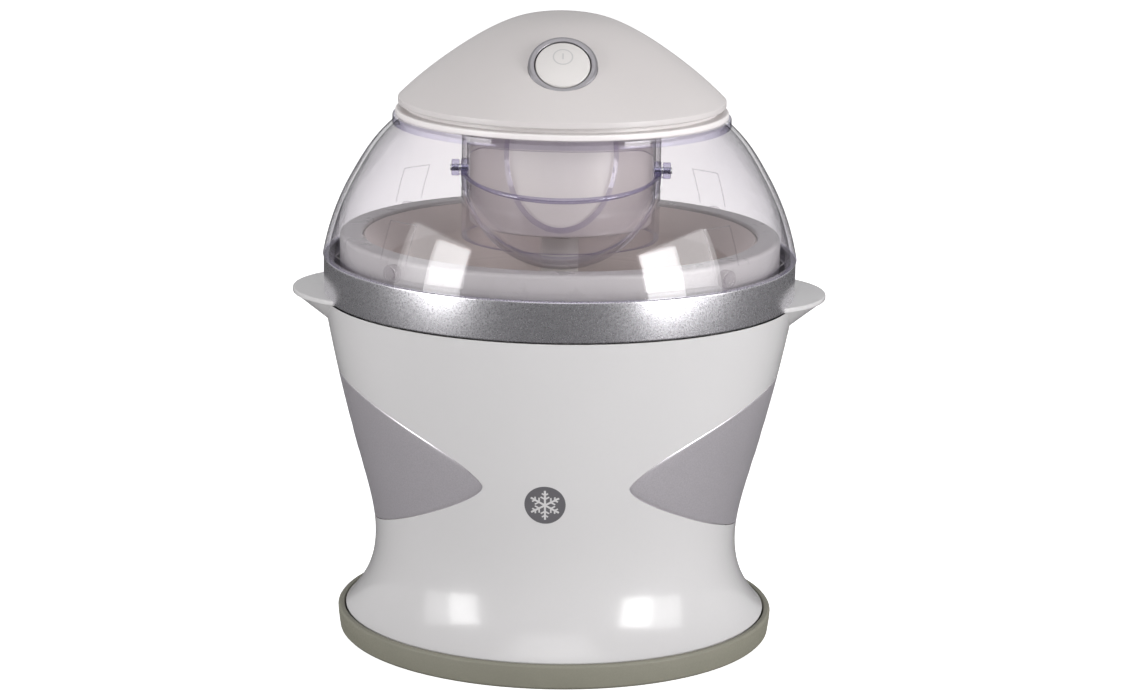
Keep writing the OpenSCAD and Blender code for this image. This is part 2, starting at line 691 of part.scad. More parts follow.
module motor() color([0.55, 0.56, 0.58]) translate([0, motor_y, motor_z]) difference() {
    union() {
        cylinder(r = motor_r, h = motor_height);
        translate([0, 0, motor_height - eps]) cylinder(r = 8, h = 3);
        translate([-9, -motor_r - 4, motor_height - 14]) cube([18, 8, 12]);
    }
    translate([0, 0, -1]) around(motor_screw_angles, motor_screw_reach) cylinder(r = motor_screw_r, h = 7);
}

// Straight-sided gear: each tooth narrows from root to tip. Sizes in modules, widths halved.
dedendum = 1.3;
addendum = 0.85;
tooth_root = 0.95;
tooth_tip = 0.28;
axle_r = 2;
module gear(teeth, turn) {
    pitch_r = gear_module * teeth / 2;
    root_r = pitch_r - dedendum * gear_module;
    tip_r = pitch_r + addendum * gear_module;
    root_half = tooth_root * gear_module;
    tip_half = tooth_tip * gear_module;
    rotate([0, 0, turn]) linear_extrude(gear_face) union() {
        circle(r = root_r);
        for (i = [0 : teeth - 1]) rotate(360 * i / teeth)
            polygon([[root_r - 0.5, -root_half], [tip_r, -tip_half], [tip_r, tip_half],
                [root_r - 0.5, root_half]]);
    }
}
motor_shaft_r = 2.5;
module motor_pinion() color(nylon) translate([0, motor_y, idler_z]) {
    gear(pinion_teeth, motor_to_idler);
    translate([0, 0, gear_face - eps]) cylinder(r = motor_shaft_r, h = motor_z - idler_z - gear_face - 0.1);
}
// Turn of the idler that puts a gap of each of its wheels opposite a tooth of its partner
idler_turn = motor_to_idler + 180 + 180 / idler_teeth;
output_turn = to_idler;
small_turn = to_idler + 180 + 180 / idler_small_teeth;
module idler_gear() color(nylon) translate([idler_x, idler_y, 0]) difference() {
    union() {
        translate([0, 0, idler_z]) gear(idler_teeth, idler_turn);
        translate([0, 0, output_z]) gear(idler_small_teeth, small_turn);
        translate([0, 0, output_z + gear_face - eps]) cylinder(r = 4.5, h = 1 + 2 * eps);
    }
    translate([0, 0, output_z - 1]) cylinder(r = axle_r + run, h = 2 * gear_face + 4);
}
module idler_axle() color(steel) translate([idler_x, idler_y, hub_bottom + hub_wall])
    cylinder(r = axle_r, h = gear_plate_z + gear_plate_t - hub_bottom - hub_wall);

module output_gear() color(nylon) translate([0, 0, output_z]) difference() {
    union() {
        gear(output_teeth, output_turn);
        translate([0, 0, -1.6]) cylinder(r = shaft_r + 3, h = 1.7);
    }
    translate([0, 0, -2]) cylinder(r = shaft_r, h = gear_face + 4);
}
module drive_shaft() color(steel) {
    translate([0, 0, hub_bottom - 3]) cylinder(r = shaft_r, h = output_z + gear_face - hub_bottom + 3.8);
    translate([-socket_side / 2, -socket_side / 2, shaft_end])
        cube([socket_side, socket_side, hub_bottom - 3 - shaft_end + eps]);
}
bush_flange = 2.2;
module shaft_bush() color([0.75, 0.6, 0.35]) {
    tube(shaft_r + bush_wall, shaft_r + run, hub_bottom, hub_bottom + hub_wall);
    tube(shaft_r + 4.5, shaft_r + run, hub_bottom + hub_wall, hub_bottom + hub_wall + bush_flange);
}

module power_switch() color([0.2, 0.2, 0.2]) to_button() {
    translate([-7, -6, -25]) cube([14, 12, 10.2]);
    translate([0, 0, -14.9]) cylinder(r = 2, h = 1);
    for (x = [-4, 4]) translate([x - 0.4, -2, -29]) cube([0.8, 4, 4 + eps]);
    translate([-10, -8, -16.4]) difference() {
        cube([20, 16, 1.4]);
        translate([3, 2, -1]) cube([14, 12, 4]);
    }
}
module button_bezel() color(grey_metal) to_button() difference() {
    union() {
        translate([0, 0, -bezel_lip]) cylinder(r = bezel_out, h = bezel_lip);
        translate([0, 0, -eps])
            cylinder(r1 = bezel_out, r2 = bezel_out - bezel_rise, h = bezel_rise + eps);
        translate([0, 0, -bezel_depth]) cylinder(r = bezel_in + bezel_wall, h = bezel_depth);
    }
    translate([0, 0, -bezel_depth - 1]) cylinder(r = bezel_in, h = 12);
}
symbol_y = 3.2;
symbol_z = 1.9;
symbol_r = 3.9;
symbol_line = 0.7;
symbol_bar = 3.4;
module power_button() color(white) to_button() difference() {
    union() {
        intersection() {
            translate([0, 0, -button_skirt]) cylinder(r = button_r, h = button_skirt + crown + 1);
            translate([0, 0, crown - crown_r]) sphere(r = crown_r);
        }
        translate([0, 0, -plunger_end]) cylinder(r = plunger_r, h = plunger_end - 2);
    }
    translate([0, symbol_y, symbol_z]) difference() {
        cylinder(r = symbol_r + symbol_line, h = 2);
        cylinder(r = symbol_r, h = 2);
    }
    translate([-symbol_line / 2, symbol_y - 1.5, symbol_z]) cube([symbol_line, symbol_bar, 2]);
}

module cord_gland() color([0.85, 0.85, 0.83]) translate([0, 0, gland_z]) rotate([-90, 0, 0]) difference() {
    union() {
        translate([0, 0, gland_seat - 2]) cylinder(r = gland_r, h = cover_r - gland_seat + 3);
        translate([0, 0, cover_r + 0.1]) cylinder(r = gland_flange_r, h = 2.2);
        translate([0, 0, gland_seat - 2.1]) cylinder(r = gland_flange_r, h = 2);
    }
    translate([0, 0, gland_seat - 5]) cylinder(r = gland_bore, h = 30);
}

centred() base_ring();
centred() base_plate();
centred() base_screws();
centred() body_shell();
centred() left_side_panel();
centred() right_side_panel();
centred() handle_ring();
centred() metal_band();
centred() bowl_well();
centred() bowl_shell();
centred() freezing_gel();
centred() bowl_liner();
centred() bowl_rim();
centred() paddle();
centred() lid_dome();
centred() scoop_pins();
centred() scoop();
centred() lower_cover();
centred() top_cover();
centred() cover_screws();
centred() motor();
centred() gear_plate();
centred() motor_screws();
centred() motor_pinion();
centred() idler_axle();
centred() idler_gear();
centred() output_gear();
centred() drive_shaft();
centred() shaft_bush();
centred() power_switch();
centred() button_bezel();
centred() power_button();
centred() cord_gland();
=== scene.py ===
"""Looks of the freezer-bowl ice cream maker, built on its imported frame.

Profiles are in millimetres, as in the part's source, and become metres where the meshes are made.
Heights and reaches come from the frame; the smooth outlines repeat the part's own knots.
"""
import math

import bmesh
import bpy
from mathutils import Matrix, Vector
from mathutils.bvhtree import BVHTree
from mathutils.interpolate import poly_3d_calc


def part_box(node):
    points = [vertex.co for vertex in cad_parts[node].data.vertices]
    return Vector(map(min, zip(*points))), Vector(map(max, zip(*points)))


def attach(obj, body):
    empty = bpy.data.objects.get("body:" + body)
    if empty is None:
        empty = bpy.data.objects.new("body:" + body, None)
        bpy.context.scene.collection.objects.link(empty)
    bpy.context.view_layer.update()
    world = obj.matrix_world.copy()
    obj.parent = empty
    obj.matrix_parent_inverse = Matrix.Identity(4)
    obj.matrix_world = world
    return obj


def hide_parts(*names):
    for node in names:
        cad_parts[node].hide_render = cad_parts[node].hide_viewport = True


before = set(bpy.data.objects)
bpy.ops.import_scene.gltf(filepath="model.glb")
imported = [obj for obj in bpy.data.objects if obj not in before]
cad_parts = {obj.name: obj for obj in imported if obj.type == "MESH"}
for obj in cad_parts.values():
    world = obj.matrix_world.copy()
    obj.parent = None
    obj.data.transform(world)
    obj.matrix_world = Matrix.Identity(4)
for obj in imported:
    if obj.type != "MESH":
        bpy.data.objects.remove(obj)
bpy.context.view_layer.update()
MM = 0.001


def low(node, axis=2):
    """Lowest place of a CAD node along an axis, in millimetres."""
    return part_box(node)[0][axis] / MM


def high(node, axis=2):
    """Highest place of a CAD node along an axis, in millimetres."""
    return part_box(node)[1][axis] / MM


# ---------- Sizes ----------
# Lengths in millimetres, angles in degrees.
# Pieces are drawn round the bowl's vertical axis, which stands this far behind the origin
AXIS_Y = (low("bowl_rim", 1) + high("bowl_rim", 1)) / 2
RING_TOP = high("base_ring")
FOOT_R = 98.2
GROOVE = 4
SHELL_TOP = high("body_shell")
BAND_R = high("metal_band", 0)
BAND_BOTTOM, BAND_TOP = low("metal_band"), high("metal_band")
BAND_WALL = 2.2
PLATE_TOP = SHELL_TOP + 2.4
HANDLE_REACH = high("handle_ring", 0)
HANDLE_ROUND = 43.5
HANDLE_AT = HANDLE_REACH - HANDLE_ROUND
GUSSET_HEIGHT = 13
COLLAR_OUT = BAND_R - BAND_WALL - 0.2
COLLAR_IN = COLLAR_OUT - 2.3
HANDLE_SEAT_IN = 92.5

PANEL_REACH, PANEL_MID, PANEL_RISE, PANEL_DROP = 88, 91, 36, 37
PANEL_DEPTH = 1.2
PANEL_SEAM = 0.3

RIM_TOP = high("bowl_rim")
RIM_BOTTOM = low("bowl_rim")
RIM_OUT = high("bowl_rim", 0)
RIM_IN = RIM_OUT - 10.5
RIM_WALL = 2.4
SHOULDER = RIM_TOP - 13
LINER_FLOOR = low("bowl_liner")
LINER_WALL = 1.2
LINER_TOP_R, LINER_FOOT_R = 79.8, 64.01

DOME_BOTTOM = BAND_TOP + 0.2
DECK_TOP = high("lid_dome")
DECK_BOTTOM = DECK_TOP - 4
DECK_R = 77.8
DOME_WALL = 2.5
DECK_WALL = 2.4
HUB_BOTTOM = low("lower_cover")
TUBE_IN, TUBE_WALL, TUBE_FOOT = 43.4, 2.4, HUB_BOTTOM - 7
SKIRT_OUT, SKIRT_WALL, SKIRT_DROP = BAND_R - BAND_WALL - 0.4, 1.6, 4.5
COLLAR_TOP = DOME_BOTTOM - SKIRT_DROP - 0.4
LOCK_ANGLES = (-46.5, -133.5, 46.5, 133.5)

SCOOP_CENTRE = Vector((0, -74.5, DECK_BOTTOM - 8.6))
SCOOP_R = 44.209
SCOOP_WALL = 2
SCOOP_LIP, SCOOP_SPAN = 9, 88
BOSS_R, BOSS_LENGTH = 4, 3.4
EAR_GAP, EAR_WIDTH, EAR_R = 0.5, 3.4, 3.6
PIN_R, PIN_LENGTH = 1.5, 8

COVER_R = 75.3
COVER_TOP = high("top_cover")
COVER_EDGE_TOP = COVER_TOP - 39.3
COVER_EDGE_BOTTOM = COVER_EDGE_TOP - 2.9
COVER_WALL = 2.6
GLAND_SEAT = 56
HUB_R, HUB_WALL = 42, 2.2
SHAFT_HOLE_R = 7
PLATE_THICK = 2.7

BUTTON_R = 12.2
BUTTON_TILT = 44
BUTTON_AT = Vector((0, -49.02, 273.37))
BEZEL_OUT, BEZEL_IN = BUTTON_R + 3.3, BUTTON_R + 0.5
BEZEL_STEP = BEZEL_IN + 1.35
BUTTON_WELL = 8

# Sides of a turned piece, of a large clear or domed one, and the material index of cut faces
TURNS, FINE_TURNS = 288, 320
CUT_FACES = 1
# Points closer together than this become one
MERGE = 0.002

# Knots of the smooth outlines: position, value, slope
BODY_KNOTS = [
    (RING_TOP, FOOT_R, -0.95), (46, 84.5, 0), (90, 93.7, 0.265), (SHELL_TOP, BAND_R + 0.2, 0.17)]
DOME_KNOTS = [
    (DOME_BOTTOM, BAND_R + 0.4, -0.18), (DOME_BOTTOM + 37.09, 95.975, -0.57),
    (DECK_BOTTOM, DECK_R, -1.15)]
COVER_KNOTS = [
    (0, COVER_TOP, 0), (0.32 * COVER_R, COVER_TOP - 3.694, -0.38),
    (0.637 * COVER_R, COVER_TOP - 16.9, -0.69), (COVER_R, COVER_EDGE_TOP, -1)]


# ---------- Outlines ----------
def value_at(knots, x):
    """Value of a smooth outline at a position."""
    for a, b in zip(knots, knots[1:]):
        if x <= b[0] or b is knots[-1]:
            d = b[0] - a[0]
            t = (x - a[0]) / d
            return ((2 * t**3 - 3 * t**2 + 1) * a[1] + (t**3 - 2 * t**2 + t) * a[2] * d
                    + (3 * t**2 - 2 * t**3) * b[1] + (t**3 - t**2) * b[2] * d)


def smooth(knots, count):
    """Evenly spaced points of a smooth outline."""
    first, last = knots[0][0], knots[-1][0]
    places = [first + (last - first) * i / count for i in range(count + 1)]
    return [(x, value_at(knots, x)) for x in places]


def wall_line(knots, count, inset=0):
    """A smooth outline of heights and radii as (radius, height) points, moved inwards."""
    return [(r - inset, z) for z, r in smooth(knots, count)]


def rounded(corners, steps=5):
    """A closed outline whose corners (x, y, radius) are rounded."""
    points = []
    for i, corner in enumerate(corners):
        here = Vector(corner[:2])
        radius = corner[2] if len(corner) > 2 else 0
        if radius <= 0:
            points.append(tuple(here))
            continue
        before = Vector(corners[i - 1][:2]) - here
        after = Vector(corners[(i + 1) % len(corners)][:2]) - here
        half = before.angle(after) / 2
        reach = min(radius / math.tan(half), 0.49 * before.length, 0.49 * after.length)
        start, end = here + before.normalized() * reach, here + after.normalized() * reach
        for k in range(steps + 1):
            t = k / steps
            points.append(tuple(start * (1 - t)**2 + here * 2 * t * (1 - t) + end * t**2))
    return points


# ---------- Meshes ----------
def make(name, bm, outward=True):
    """Turns a bmesh into an object in the scene."""
    if outward:
        bmesh.ops.recalc_face_normals(bm, faces=bm.faces)
    mesh = bpy.data.meshes.new(name)
    bm.to_mesh(mesh)
    bm.free()
    obj = bpy.data.objects.new(name, mesh)
    bpy.context.scene.collection.objects.link(obj)
    return obj


def spin(name, points, segments=TURNS, closed=True):
    """Turns (radius, height) points round Z."""
    bm = bmesh.new()
    rings = []
    for r, z in points:
        if r < 1e-6:
            rings.append([bm.verts.new((0, 0, z * MM))])
            continue
        turns = [2 * math.pi * k / segments for k in range(segments)]
        rings.append([bm.verts.new((r * MM * math.cos(a), r * MM * math.sin(a), z * MM)) for a in turns])
    following = rings[1:] + rings[:1] if closed else rings[1:]
    for a, b in zip(rings, following):
        if len(a) == 1 and len(b) == 1:
            continue
        for k in range(segments):
            n = (k + 1) % segments
            corners = [a[k % len(a)], a[n % len(a)], b[n % len(b)], b[k % len(b)]]
            bm.faces.new(list(dict.fromkeys(corners)))
    return make(name, bm)


def place(obj, matrix):
    """Moves a mesh's own points; the matrix is in millimetres."""
    moved = matrix.copy()
    moved.translation = moved.translation * MM
    obj.data.transform(moved)
    return obj


def lay_x(side, at):
    """Matrix that lays a piece spun round Z along the X axis at a point."""
    return Matrix.Translation(at) @ Matrix.Rotation(math.radians(90 * side), 4, "Y")


def grid_faces(bm, rows, wrap=False):
    """Faces between rows of vertices of equal length."""
    for a, b in zip(rows, rows[1:]):
        last = len(a) if wrap else len(a) - 1
        for k in range(last):
            n = (k + 1) % len(a)
            corners = list(dict.fromkeys([a[k], a[n], b[n], b[k]]))
            if len(corners) > 2:
                bm.faces.new(corners)


def combine(obj, other, operation):
    """Applies a boolean operation with another piece, which it uses up."""
    modifier = obj.modifiers.new("combine", "BOOLEAN")
    modifier.operation = operation
    modifier.solver = "EXACT"
    modifier.object = other
    graph = bpy.context.evaluated_depsgraph_get()
    mesh = bpy.data.meshes.new_from_object(obj.evaluated_get(graph))
    obj.modifiers.clear()
    obj.data = mesh
    bpy.data.objects.remove(other)


def cut(obj, cutter):
    """Cuts a piece with another, whose faces get their own material, and returns the uncut mesh."""
    whole = obj.data.copy()
    for p in cutter.data.polygons:
        p.material_index = CUT_FACES
    for holder in (obj, cutter):
        while len(holder.data.materials) <= CUT_FACES:
            holder.data.materials.append(None)
    combine(obj, cutter, "DIFFERENCE")
    return whole


def carry_normals(obj, whole):
    """Gives a cut mesh the smooth normals of the mesh that it was cut from."""
    sharp, near, aligned = math.radians(30), 0.02 * MM, 0.97
    whole.shade_smooth()
    whole.set_sharp_from_angle(angle=sharp)
    normals = [n.vector.copy() for n in whole.corner_normals]
    faces = [tuple(p.vertices) for p in whole.polygons]
    tree = BVHTree.FromPolygons([v.co for v in whole.vertices], faces)
    mesh = obj.data
    mesh.shade_smooth()
    mesh.set_sharp_from_angle(angle=sharp)
    found = [Vector((0, 0, 0))] * len(mesh.loops)
    for p in mesh.polygons:
        spot, normal, index, distance = tree.find_nearest(p.center)
        if index is None or distance > near or normal.dot(p.normal) < aligned:
            continue
        source = whole.polygons[index]
        corners = [whole.vertices[v].co for v in source.vertices]
        for loop in p.loop_indices:
            weights = poly_3d_calc(corners, mesh.vertices[mesh.loops[loop].vertex_index].co)
            mixed = sum((normals[source.loop_start + i] * w for i, w in enumerate(weights)), Vector())
            found[loop] = mixed.normalized()
    mesh.normals_split_custom_set(found)
    bpy.data.meshes.remove(whole)


def finish_piece(obj, body, materials, nodes=(), sharp=35):
    """Smooths a piece, gives it its materials and lets it ride on its body."""
    listed = materials if isinstance(materials, (list, tuple)) else [materials]
    for i, m in enumerate(listed):
        if i < len(obj.data.materials):
            obj.data.materials[i] = m
        else:
            obj.data.materials.append(m)
    obj.data.transform(Matrix.Translation((0, AXIS_Y * MM, 0)))
    if sharp is not None:
        obj.data.shade_smooth()
        obj.data.set_sharp_from_angle(angle=math.radians(sharp))
    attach(obj, body)
    if nodes:
        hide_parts(*nodes)
    return obj


# ---------- Materials ----------
class Nodes:
    """A material's node tree with short calls for what the materials share."""

    def __init__(self, name):
        self.material = bpy.data.materials.new(name)
        self.material.use_nodes = True
        self.tree = self.material.node_tree
        self.tree.nodes.clear()
        self.out = self.tree.nodes.new("ShaderNodeOutputMaterial")
        self.coords = self.tree.nodes.new("ShaderNodeTexCoord").outputs["Object"]

    def add(self, kind, **inputs):
        """A node with its inputs set or linked; underscores in their names stand for spaces."""
        node = self.tree.nodes.new(kind)
        for key, value in inputs.items():
            self.set(node.inputs[key.replace("_", " ")], value)
        return node

    def set(self, socket, value):
        """Links a socket to another, or gives it a value."""
        if isinstance(value, bpy.types.NodeSocket):
            self.tree.links.new(value, socket)
        else:
            socket.default_value = value

    def noise(self, scale, detail=3, roughness=0.55):
        """Noise in the object's own coordinates."""
        node = self.add(
            "ShaderNodeTexNoise", Vector=self.coords, Scale=scale, Detail=detail, Roughness=roughness)
        return node.outputs["Fac"]

    def spread(self, value, to_min, to_max, from_min=0.3, from_max=0.7):
        """Maps a value from one range to another; the default is where noise mostly lies."""
        node = self.add(
            "ShaderNodeMapRange", Value=value, From_Min=from_min, From_Max=from_max, To_Min=to_min,
            To_Max=to_max)
        return node.outputs[0]

    def mix(self, factor, a, b):
        """Blends two colours."""
        node = self.tree.nodes.new("ShaderNodeMix")
        node.data_type = "RGBA"
        self.set(node.inputs["Factor"], factor)
        self.set(node.inputs["A"], a)
        self.set(node.inputs["B"], b)
        return node.outputs["Result"]

    def math(self, operation, a, b=0.0):
        """One sum on numbers or sockets."""
        node = self.tree.nodes.new("ShaderNodeMath")
        node.operation = operation
        self.set(node.inputs[0], a)
        self.set(node.inputs[1], b)
        return node.outputs[0]

    def bump(self, height, strength, distance):
        """A normal tilted by a height."""
        node = self.add("ShaderNodeBump", Height=height, Strength=strength, Distance=distance)
        return node.outputs[0]

    def principled(self, **inputs):
        """Ends the material with the principled shader."""
        node = self.add("ShaderNodeBsdfPrincipled", **inputs)
        self.tree.links.new(node.outputs[0], self.out.inputs[0])
        return self.material


def rgb(r, g, b):
    """An opaque colour."""
    return (r, g, b, 1)


def shade(colour, factor):
    """A colour made darker or lighter."""
    return rgb(*[min(1, c * factor) for c in colour[:3]])


def plastic(name, colour, rough, spread=0.05, grain=1500, depth=0.004, coat=0.0, mottle=0.02):
    """A moulded plastic: faint mottling, a fine mould texture and uneven gloss."""
    n = Nodes(name)
    broad = n.spread(n.noise(9, 2), 0, 1)
    fine = n.noise(grain, 2)
    wear = n.noise(60, 5, 0.65)
    tone = n.mix(broad, shade(colour, 1 - mottle), shade(colour, 1 + mottle / 2))
    tone = n.mix(n.spread(fine, 0, 0.35), tone, shade(colour, 1 - 1.5 * mottle))
    return n.principled(
        Base_Color=tone, Roughness=n.spread(wear, rough - spread / 2, rough + spread),
        Coat_Weight=coat, Coat_Roughness=0.08, Normal=n.bump(fine, 0.12, depth * MM * 10))


def silver_paint(name, colour, rough, metal=0.75, flake=2600):
    """Metallic paint on plastic: fine flakes that vary in tone, gloss and tilt."""
    n = Nodes(name)
    cells = n.add("ShaderNodeTexVoronoi", Vector=n.coords, Scale=flake)
    grain = n.noise(1400, 4, 0.7)
    cloud = n.noise(16, 3)
    tone = n.mix(n.spread(grain, 0, 1, 0.25, 0.75), shade(colour, 0.86), shade(colour, 1.1))
    tone = n.mix(n.spread(cloud, 0, 0.4), tone, shade(colour, 0.95))
    height = n.math("ADD", cells.outputs["Distance"], grain)
    return n.principled(
        Base_Color=tone, Metallic=metal, Roughness=n.spread(grain, rough - 0.06, rough + 0.08),
        Normal=n.bump(height, 0.18, 0.02 * MM), Coat_Weight=0.25, Coat_Roughness=0.25)


def rubber(name, colour, rough=0.55):
    """Matt rubber with a fine grain."""
    n = Nodes(name)
    grain = n.noise(1100, 4, 0.65)
    cloud = n.noise(25, 3)
    tone = n.mix(n.spread(cloud, 0, 1), shade(colour, 0.94), shade(colour, 1.05))
    tone = n.mix(n.spread(grain, 0, 0.5), tone, shade(colour, 0.88))
    return n.principled(
        Base_Color=tone, Roughness=n.spread(grain, rough - 0.08, rough + 0.1),
        Normal=n.bump(grain, 0.25, 0.05 * MM))


def spun_metal(name, colour, rough, metal=0.85, pitch=1.1):
    """Metal with fine turning lines round the vertical axis."""
    n = Nodes(name)
    split = n.add("ShaderNodeSeparateXYZ", Vector=n.coords)
    x, y, z = split.outputs
    y = n.math("SUBTRACT", y, AXIS_Y * MM)
    across = n.math("SQRT", n.math("ADD", n.math("MULTIPLY", x, x), n.math("MULTIPLY", y, y)))
    along = n.math("ADD", across, z)
    line = n.add("ShaderNodeCombineXYZ", X=n.math("MULTIPLY", along, 1000 / pitch))
    rings = n.add("ShaderNodeTexNoise", Vector=line.outputs[0], Scale=1.0, Detail=4, Roughness=0.7)
    fine = n.noise(900, 3)
    tone = n.mix(n.spread(rings.outputs["Fac"], 0, 1), shade(colour, 0.93), shade(colour, 1.06))
    return n.principled(
        Base_Color=tone, Metallic=metal, Roughness=n.spread(fine, rough - 0.05, rough + 0.06),
        Normal=n.bump(rings.outputs["Fac"], 0.1, 0.03 * MM))


def clear(name, straight, slanted, gloss=1.0, rough=0.03):
    """Clear plastic: passes light with a tint that deepens where the wall is seen edge on."""
    n = Nodes(name)
    facing = n.add("ShaderNodeLayerWeight", Blend=0.5).outputs["Facing"]
    slant = n.math("POWER", facing, 1.5)
    haze = n.noise(40, 4, 0.6)
    tint = n.mix(slant, rgb(*straight), rgb(*slanted))
    tint = n.mix(n.spread(haze, 0, 0.3), tint, rgb(*[c * 0.985 for c in straight]))
    through = n.add("ShaderNodeBsdfTransparent", Color=tint)
    ripple = n.bump(n.noise(30, 2), 0.02, 0.4 * MM)
    mirror = n.add("ShaderNodeBsdfGlossy", Color=rgb(1, 1, 1), Roughness=rough, Normal=ripple)
    schlick = n.math("POWER", facing, 5.0)
    share = n.math("ADD", n.math("MULTIPLY", schlick, 0.9 * gloss), 0.045 * gloss)
    both = n.tree.nodes.new("ShaderNodeMixShader")
    n.set(both.inputs[0], share)
    n.set(both.inputs[1], through.outputs[0])
    n.set(both.inputs[2], mirror.outputs[0])
    n.set(n.out.inputs[0], both.outputs[0])
    return n.material


WHITE = plastic("white_gloss", rgb(0.565, 0.554, 0.558), 0.2, coat=0.3, grain=700)
COVER = plastic("cover_satin", rgb(0.60, 0.567, 0.563), 0.34, grain=1300, depth=0.008)
# Same plastic as the cover, painted lighter: the brighter colour is painted light that stands in for the
# light the dome and the power unit keep off the hub
HUB_PAINTED_LIGHT = plastic("hub_satin_painted_light", rgb(0.78, 0.742, 0.737), 0.34, grain=1300, depth=0.008)
BUTTON = plastic("button_satin", rgb(0.64, 0.615, 0.605), 0.3, grain=1300)
RIM = plastic("bowl_white", rgb(0.62, 0.607, 0.61), 0.28, grain=800)
INNER = plastic("inner_plastic", rgb(0.72, 0.71, 0.69), 0.5, grain=900)
PADDLE = plastic("paddle_white", rgb(0.80, 0.79, 0.76), 0.42, grain=900)
NYLON = plastic("gear_nylon", rgb(0.83, 0.81, 0.72), 0.45, grain=900)
BLACK = plastic("black_plastic", rgb(0.035, 0.035, 0.037), 0.45, grain=900, mottle=0.1)
GEL = plastic("gel", rgb(0.45, 0.62, 0.78), 0.35, grain=300)
PANEL = silver_paint("panel_silver", rgb(0.80, 0.76, 0.805), 0.34, metal=0.7)
BAND = silver_paint("band_silver", rgb(0.82, 0.80, 0.84), 0.27, metal=0.92)
BEZEL = silver_paint("bezel_silver", rgb(0.40, 0.385, 0.41), 0.34, metal=0.85)
RING = rubber("ring_rubber", rgb(0.215, 0.208, 0.165))
GLAND = rubber("gland_rubber", rgb(0.66, 0.65, 0.62))
LINER = spun_metal("liner_metal", rgb(0.84, 0.765, 0.735), 0.45, metal=0.2)
STEEL = spun_metal("steel", rgb(0.62, 0.62, 0.63), 0.25)
MOTOR = spun_metal("motor_steel", rgb(0.50, 0.50, 0.51), 0.35)
BRONZE = spun_metal("bronze", rgb(0.58, 0.44, 0.24), 0.38)
DARK = plastic("seam_shadow", rgb(0.10, 0.10, 0.11), 0.6, grain=900)
PRINT = plastic("print_grey", rgb(0.115, 0.11, 0.12), 0.4, grain=1500, mottle=0.06)
SYMBOL = plastic("symbol_grey", rgb(0.50, 0.49, 0.49), 0.4, grain=1500)
CLEAR = clear("clear_plastic", (0.953, 0.944, 0.949), (0.87, 0.856, 0.88))
EDGE = clear("clear_edge", (0.80, 0.785, 0.87), (0.62, 0.59, 0.75), gloss=1.3, rough=0.06)


# ---------- Housing ----------
def base_ring():
    """The rubber ring, flat underneath and bulging outwards."""
    r, ring_in = FOOT_R, FOOT_R - 10
    points = rounded([
        (ring_in, 0), (r + 1.4, 0, 1), (r + 2.6, 1.2, 1.2), (r + 3.4, 7, 4), (r + 3.7, RING_TOP - 1, 1),
        (r + 2.9, RING_TOP, 0.6), (r + 0.9, RING_TOP, 0.4), (r + 0.5, RING_TOP - 1.2, 0.3), (r + 0.3, 3),
        (ring_in, 3)])
    finish_piece(spin("base_ring_look", points), "housing", RING, ["base_ring"])


def signed_power(v, n):
    """A power that keeps the sign."""
    return math.copysign(abs(v) ** n, v)


def panel_edge(angle, shrink=0):
    """Point (y, z) of a side panel's outline, at an angle from the front tip."""
    up = math.sin(angle) >= 0
    power = 2 / (2.2 if up else 1.6)
    rise = (PANEL_RISE if up else PANEL_DROP) - shrink
    return ((PANEL_REACH - shrink) * signed_power(math.cos(angle), power),
            PANEL_MID + rise * signed_power(math.sin(angle), power))


def on_body(y, z, side, lift=0.0):
    """Point of the housing's outside at a depth and a height, on one side."""
    r = value_at(BODY_KNOTS, z) + lift
    y = max(-r, min(r, y))
    return Vector((side * math.sqrt(r * r - y * y), y, z)) * MM


def body_shell():
    """The flared housing, whose rows follow the side panels' edges, and its gussets."""
    quarter, columns, below, above, foot_inset = 56, 128, 44, 33, 0.5
    edge = [panel_edge(math.radians(90 * k / quarter)) for k in range(-quarter, quarter + 1)]
    first, last = edge[0][1], edge[-1][1]
    rows = [(0, RING_TOP - GROOVE + 0.02)]
    rows += [(0, RING_TOP + (first - RING_TOP) * i / below) for i in range(below)]
    rows += edge
    rows += [(0, last + (SHELL_TOP - last) * i / above) for i in range(1, above + 1)]
    bm = bmesh.new()
    for half in (-1, 1):
        lines = []
        for y, z in rows:
            r = value_at(BODY_KNOTS, max(z, RING_TOP)) - (foot_inset if z < RING_TOP else 0)
            start = math.asin(min(1, abs(y) / r))
            turns = [start + (math.pi - 2 * start) * c / columns for c in range(columns + 1)]
            around = [Vector((r * math.cos(a), half * r * math.sin(a), z)) * MM for a in turns]
            lines.append([bm.verts.new(spot) for spot in around])
        grid_faces(bm, lines)
        for column in (0, columns):
            start_row = len(rows) - above - len(edge)
            border = [line[column] for line in lines[start_row:start_row + len(edge)]]
            inner = []
            for v in border:
                flat = Vector((v.co.x, v.co.y, 0))
                inner.append(bm.verts.new(v.co - flat.normalized() * PANEL_DEPTH * MM))
            grid_faces(bm, [border, inner])
    bmesh.ops.remove_doubles(bm, verts=bm.verts, dist=MERGE * MM)
    bmesh.ops.dissolve_degenerate(bm, edges=bm.edges, dist=MERGE / 4 * MM)
    shell = make("body_shell_look", bm)
    finish_piece(shell, "housing", WHITE, ["body_shell"], sharp=50)
    for side, name in ((-1, "left"), (1, "right")):
        profile = rounded([
            (HANDLE_ROUND - 17, SHELL_TOP - GUSSET_HEIGHT, 0), (HANDLE_ROUND - 1, SHELL_TOP, 0),
            (0, SHELL_TOP, 0), (0, SHELL_TOP - GUSSET_HEIGHT, 0)])
        gusset = place(spin(f"gusset_{name}", profile), Matrix.Translation((side * HANDLE_AT, 0, 0)))
        finish_piece(gusset, "housing", WHITE)


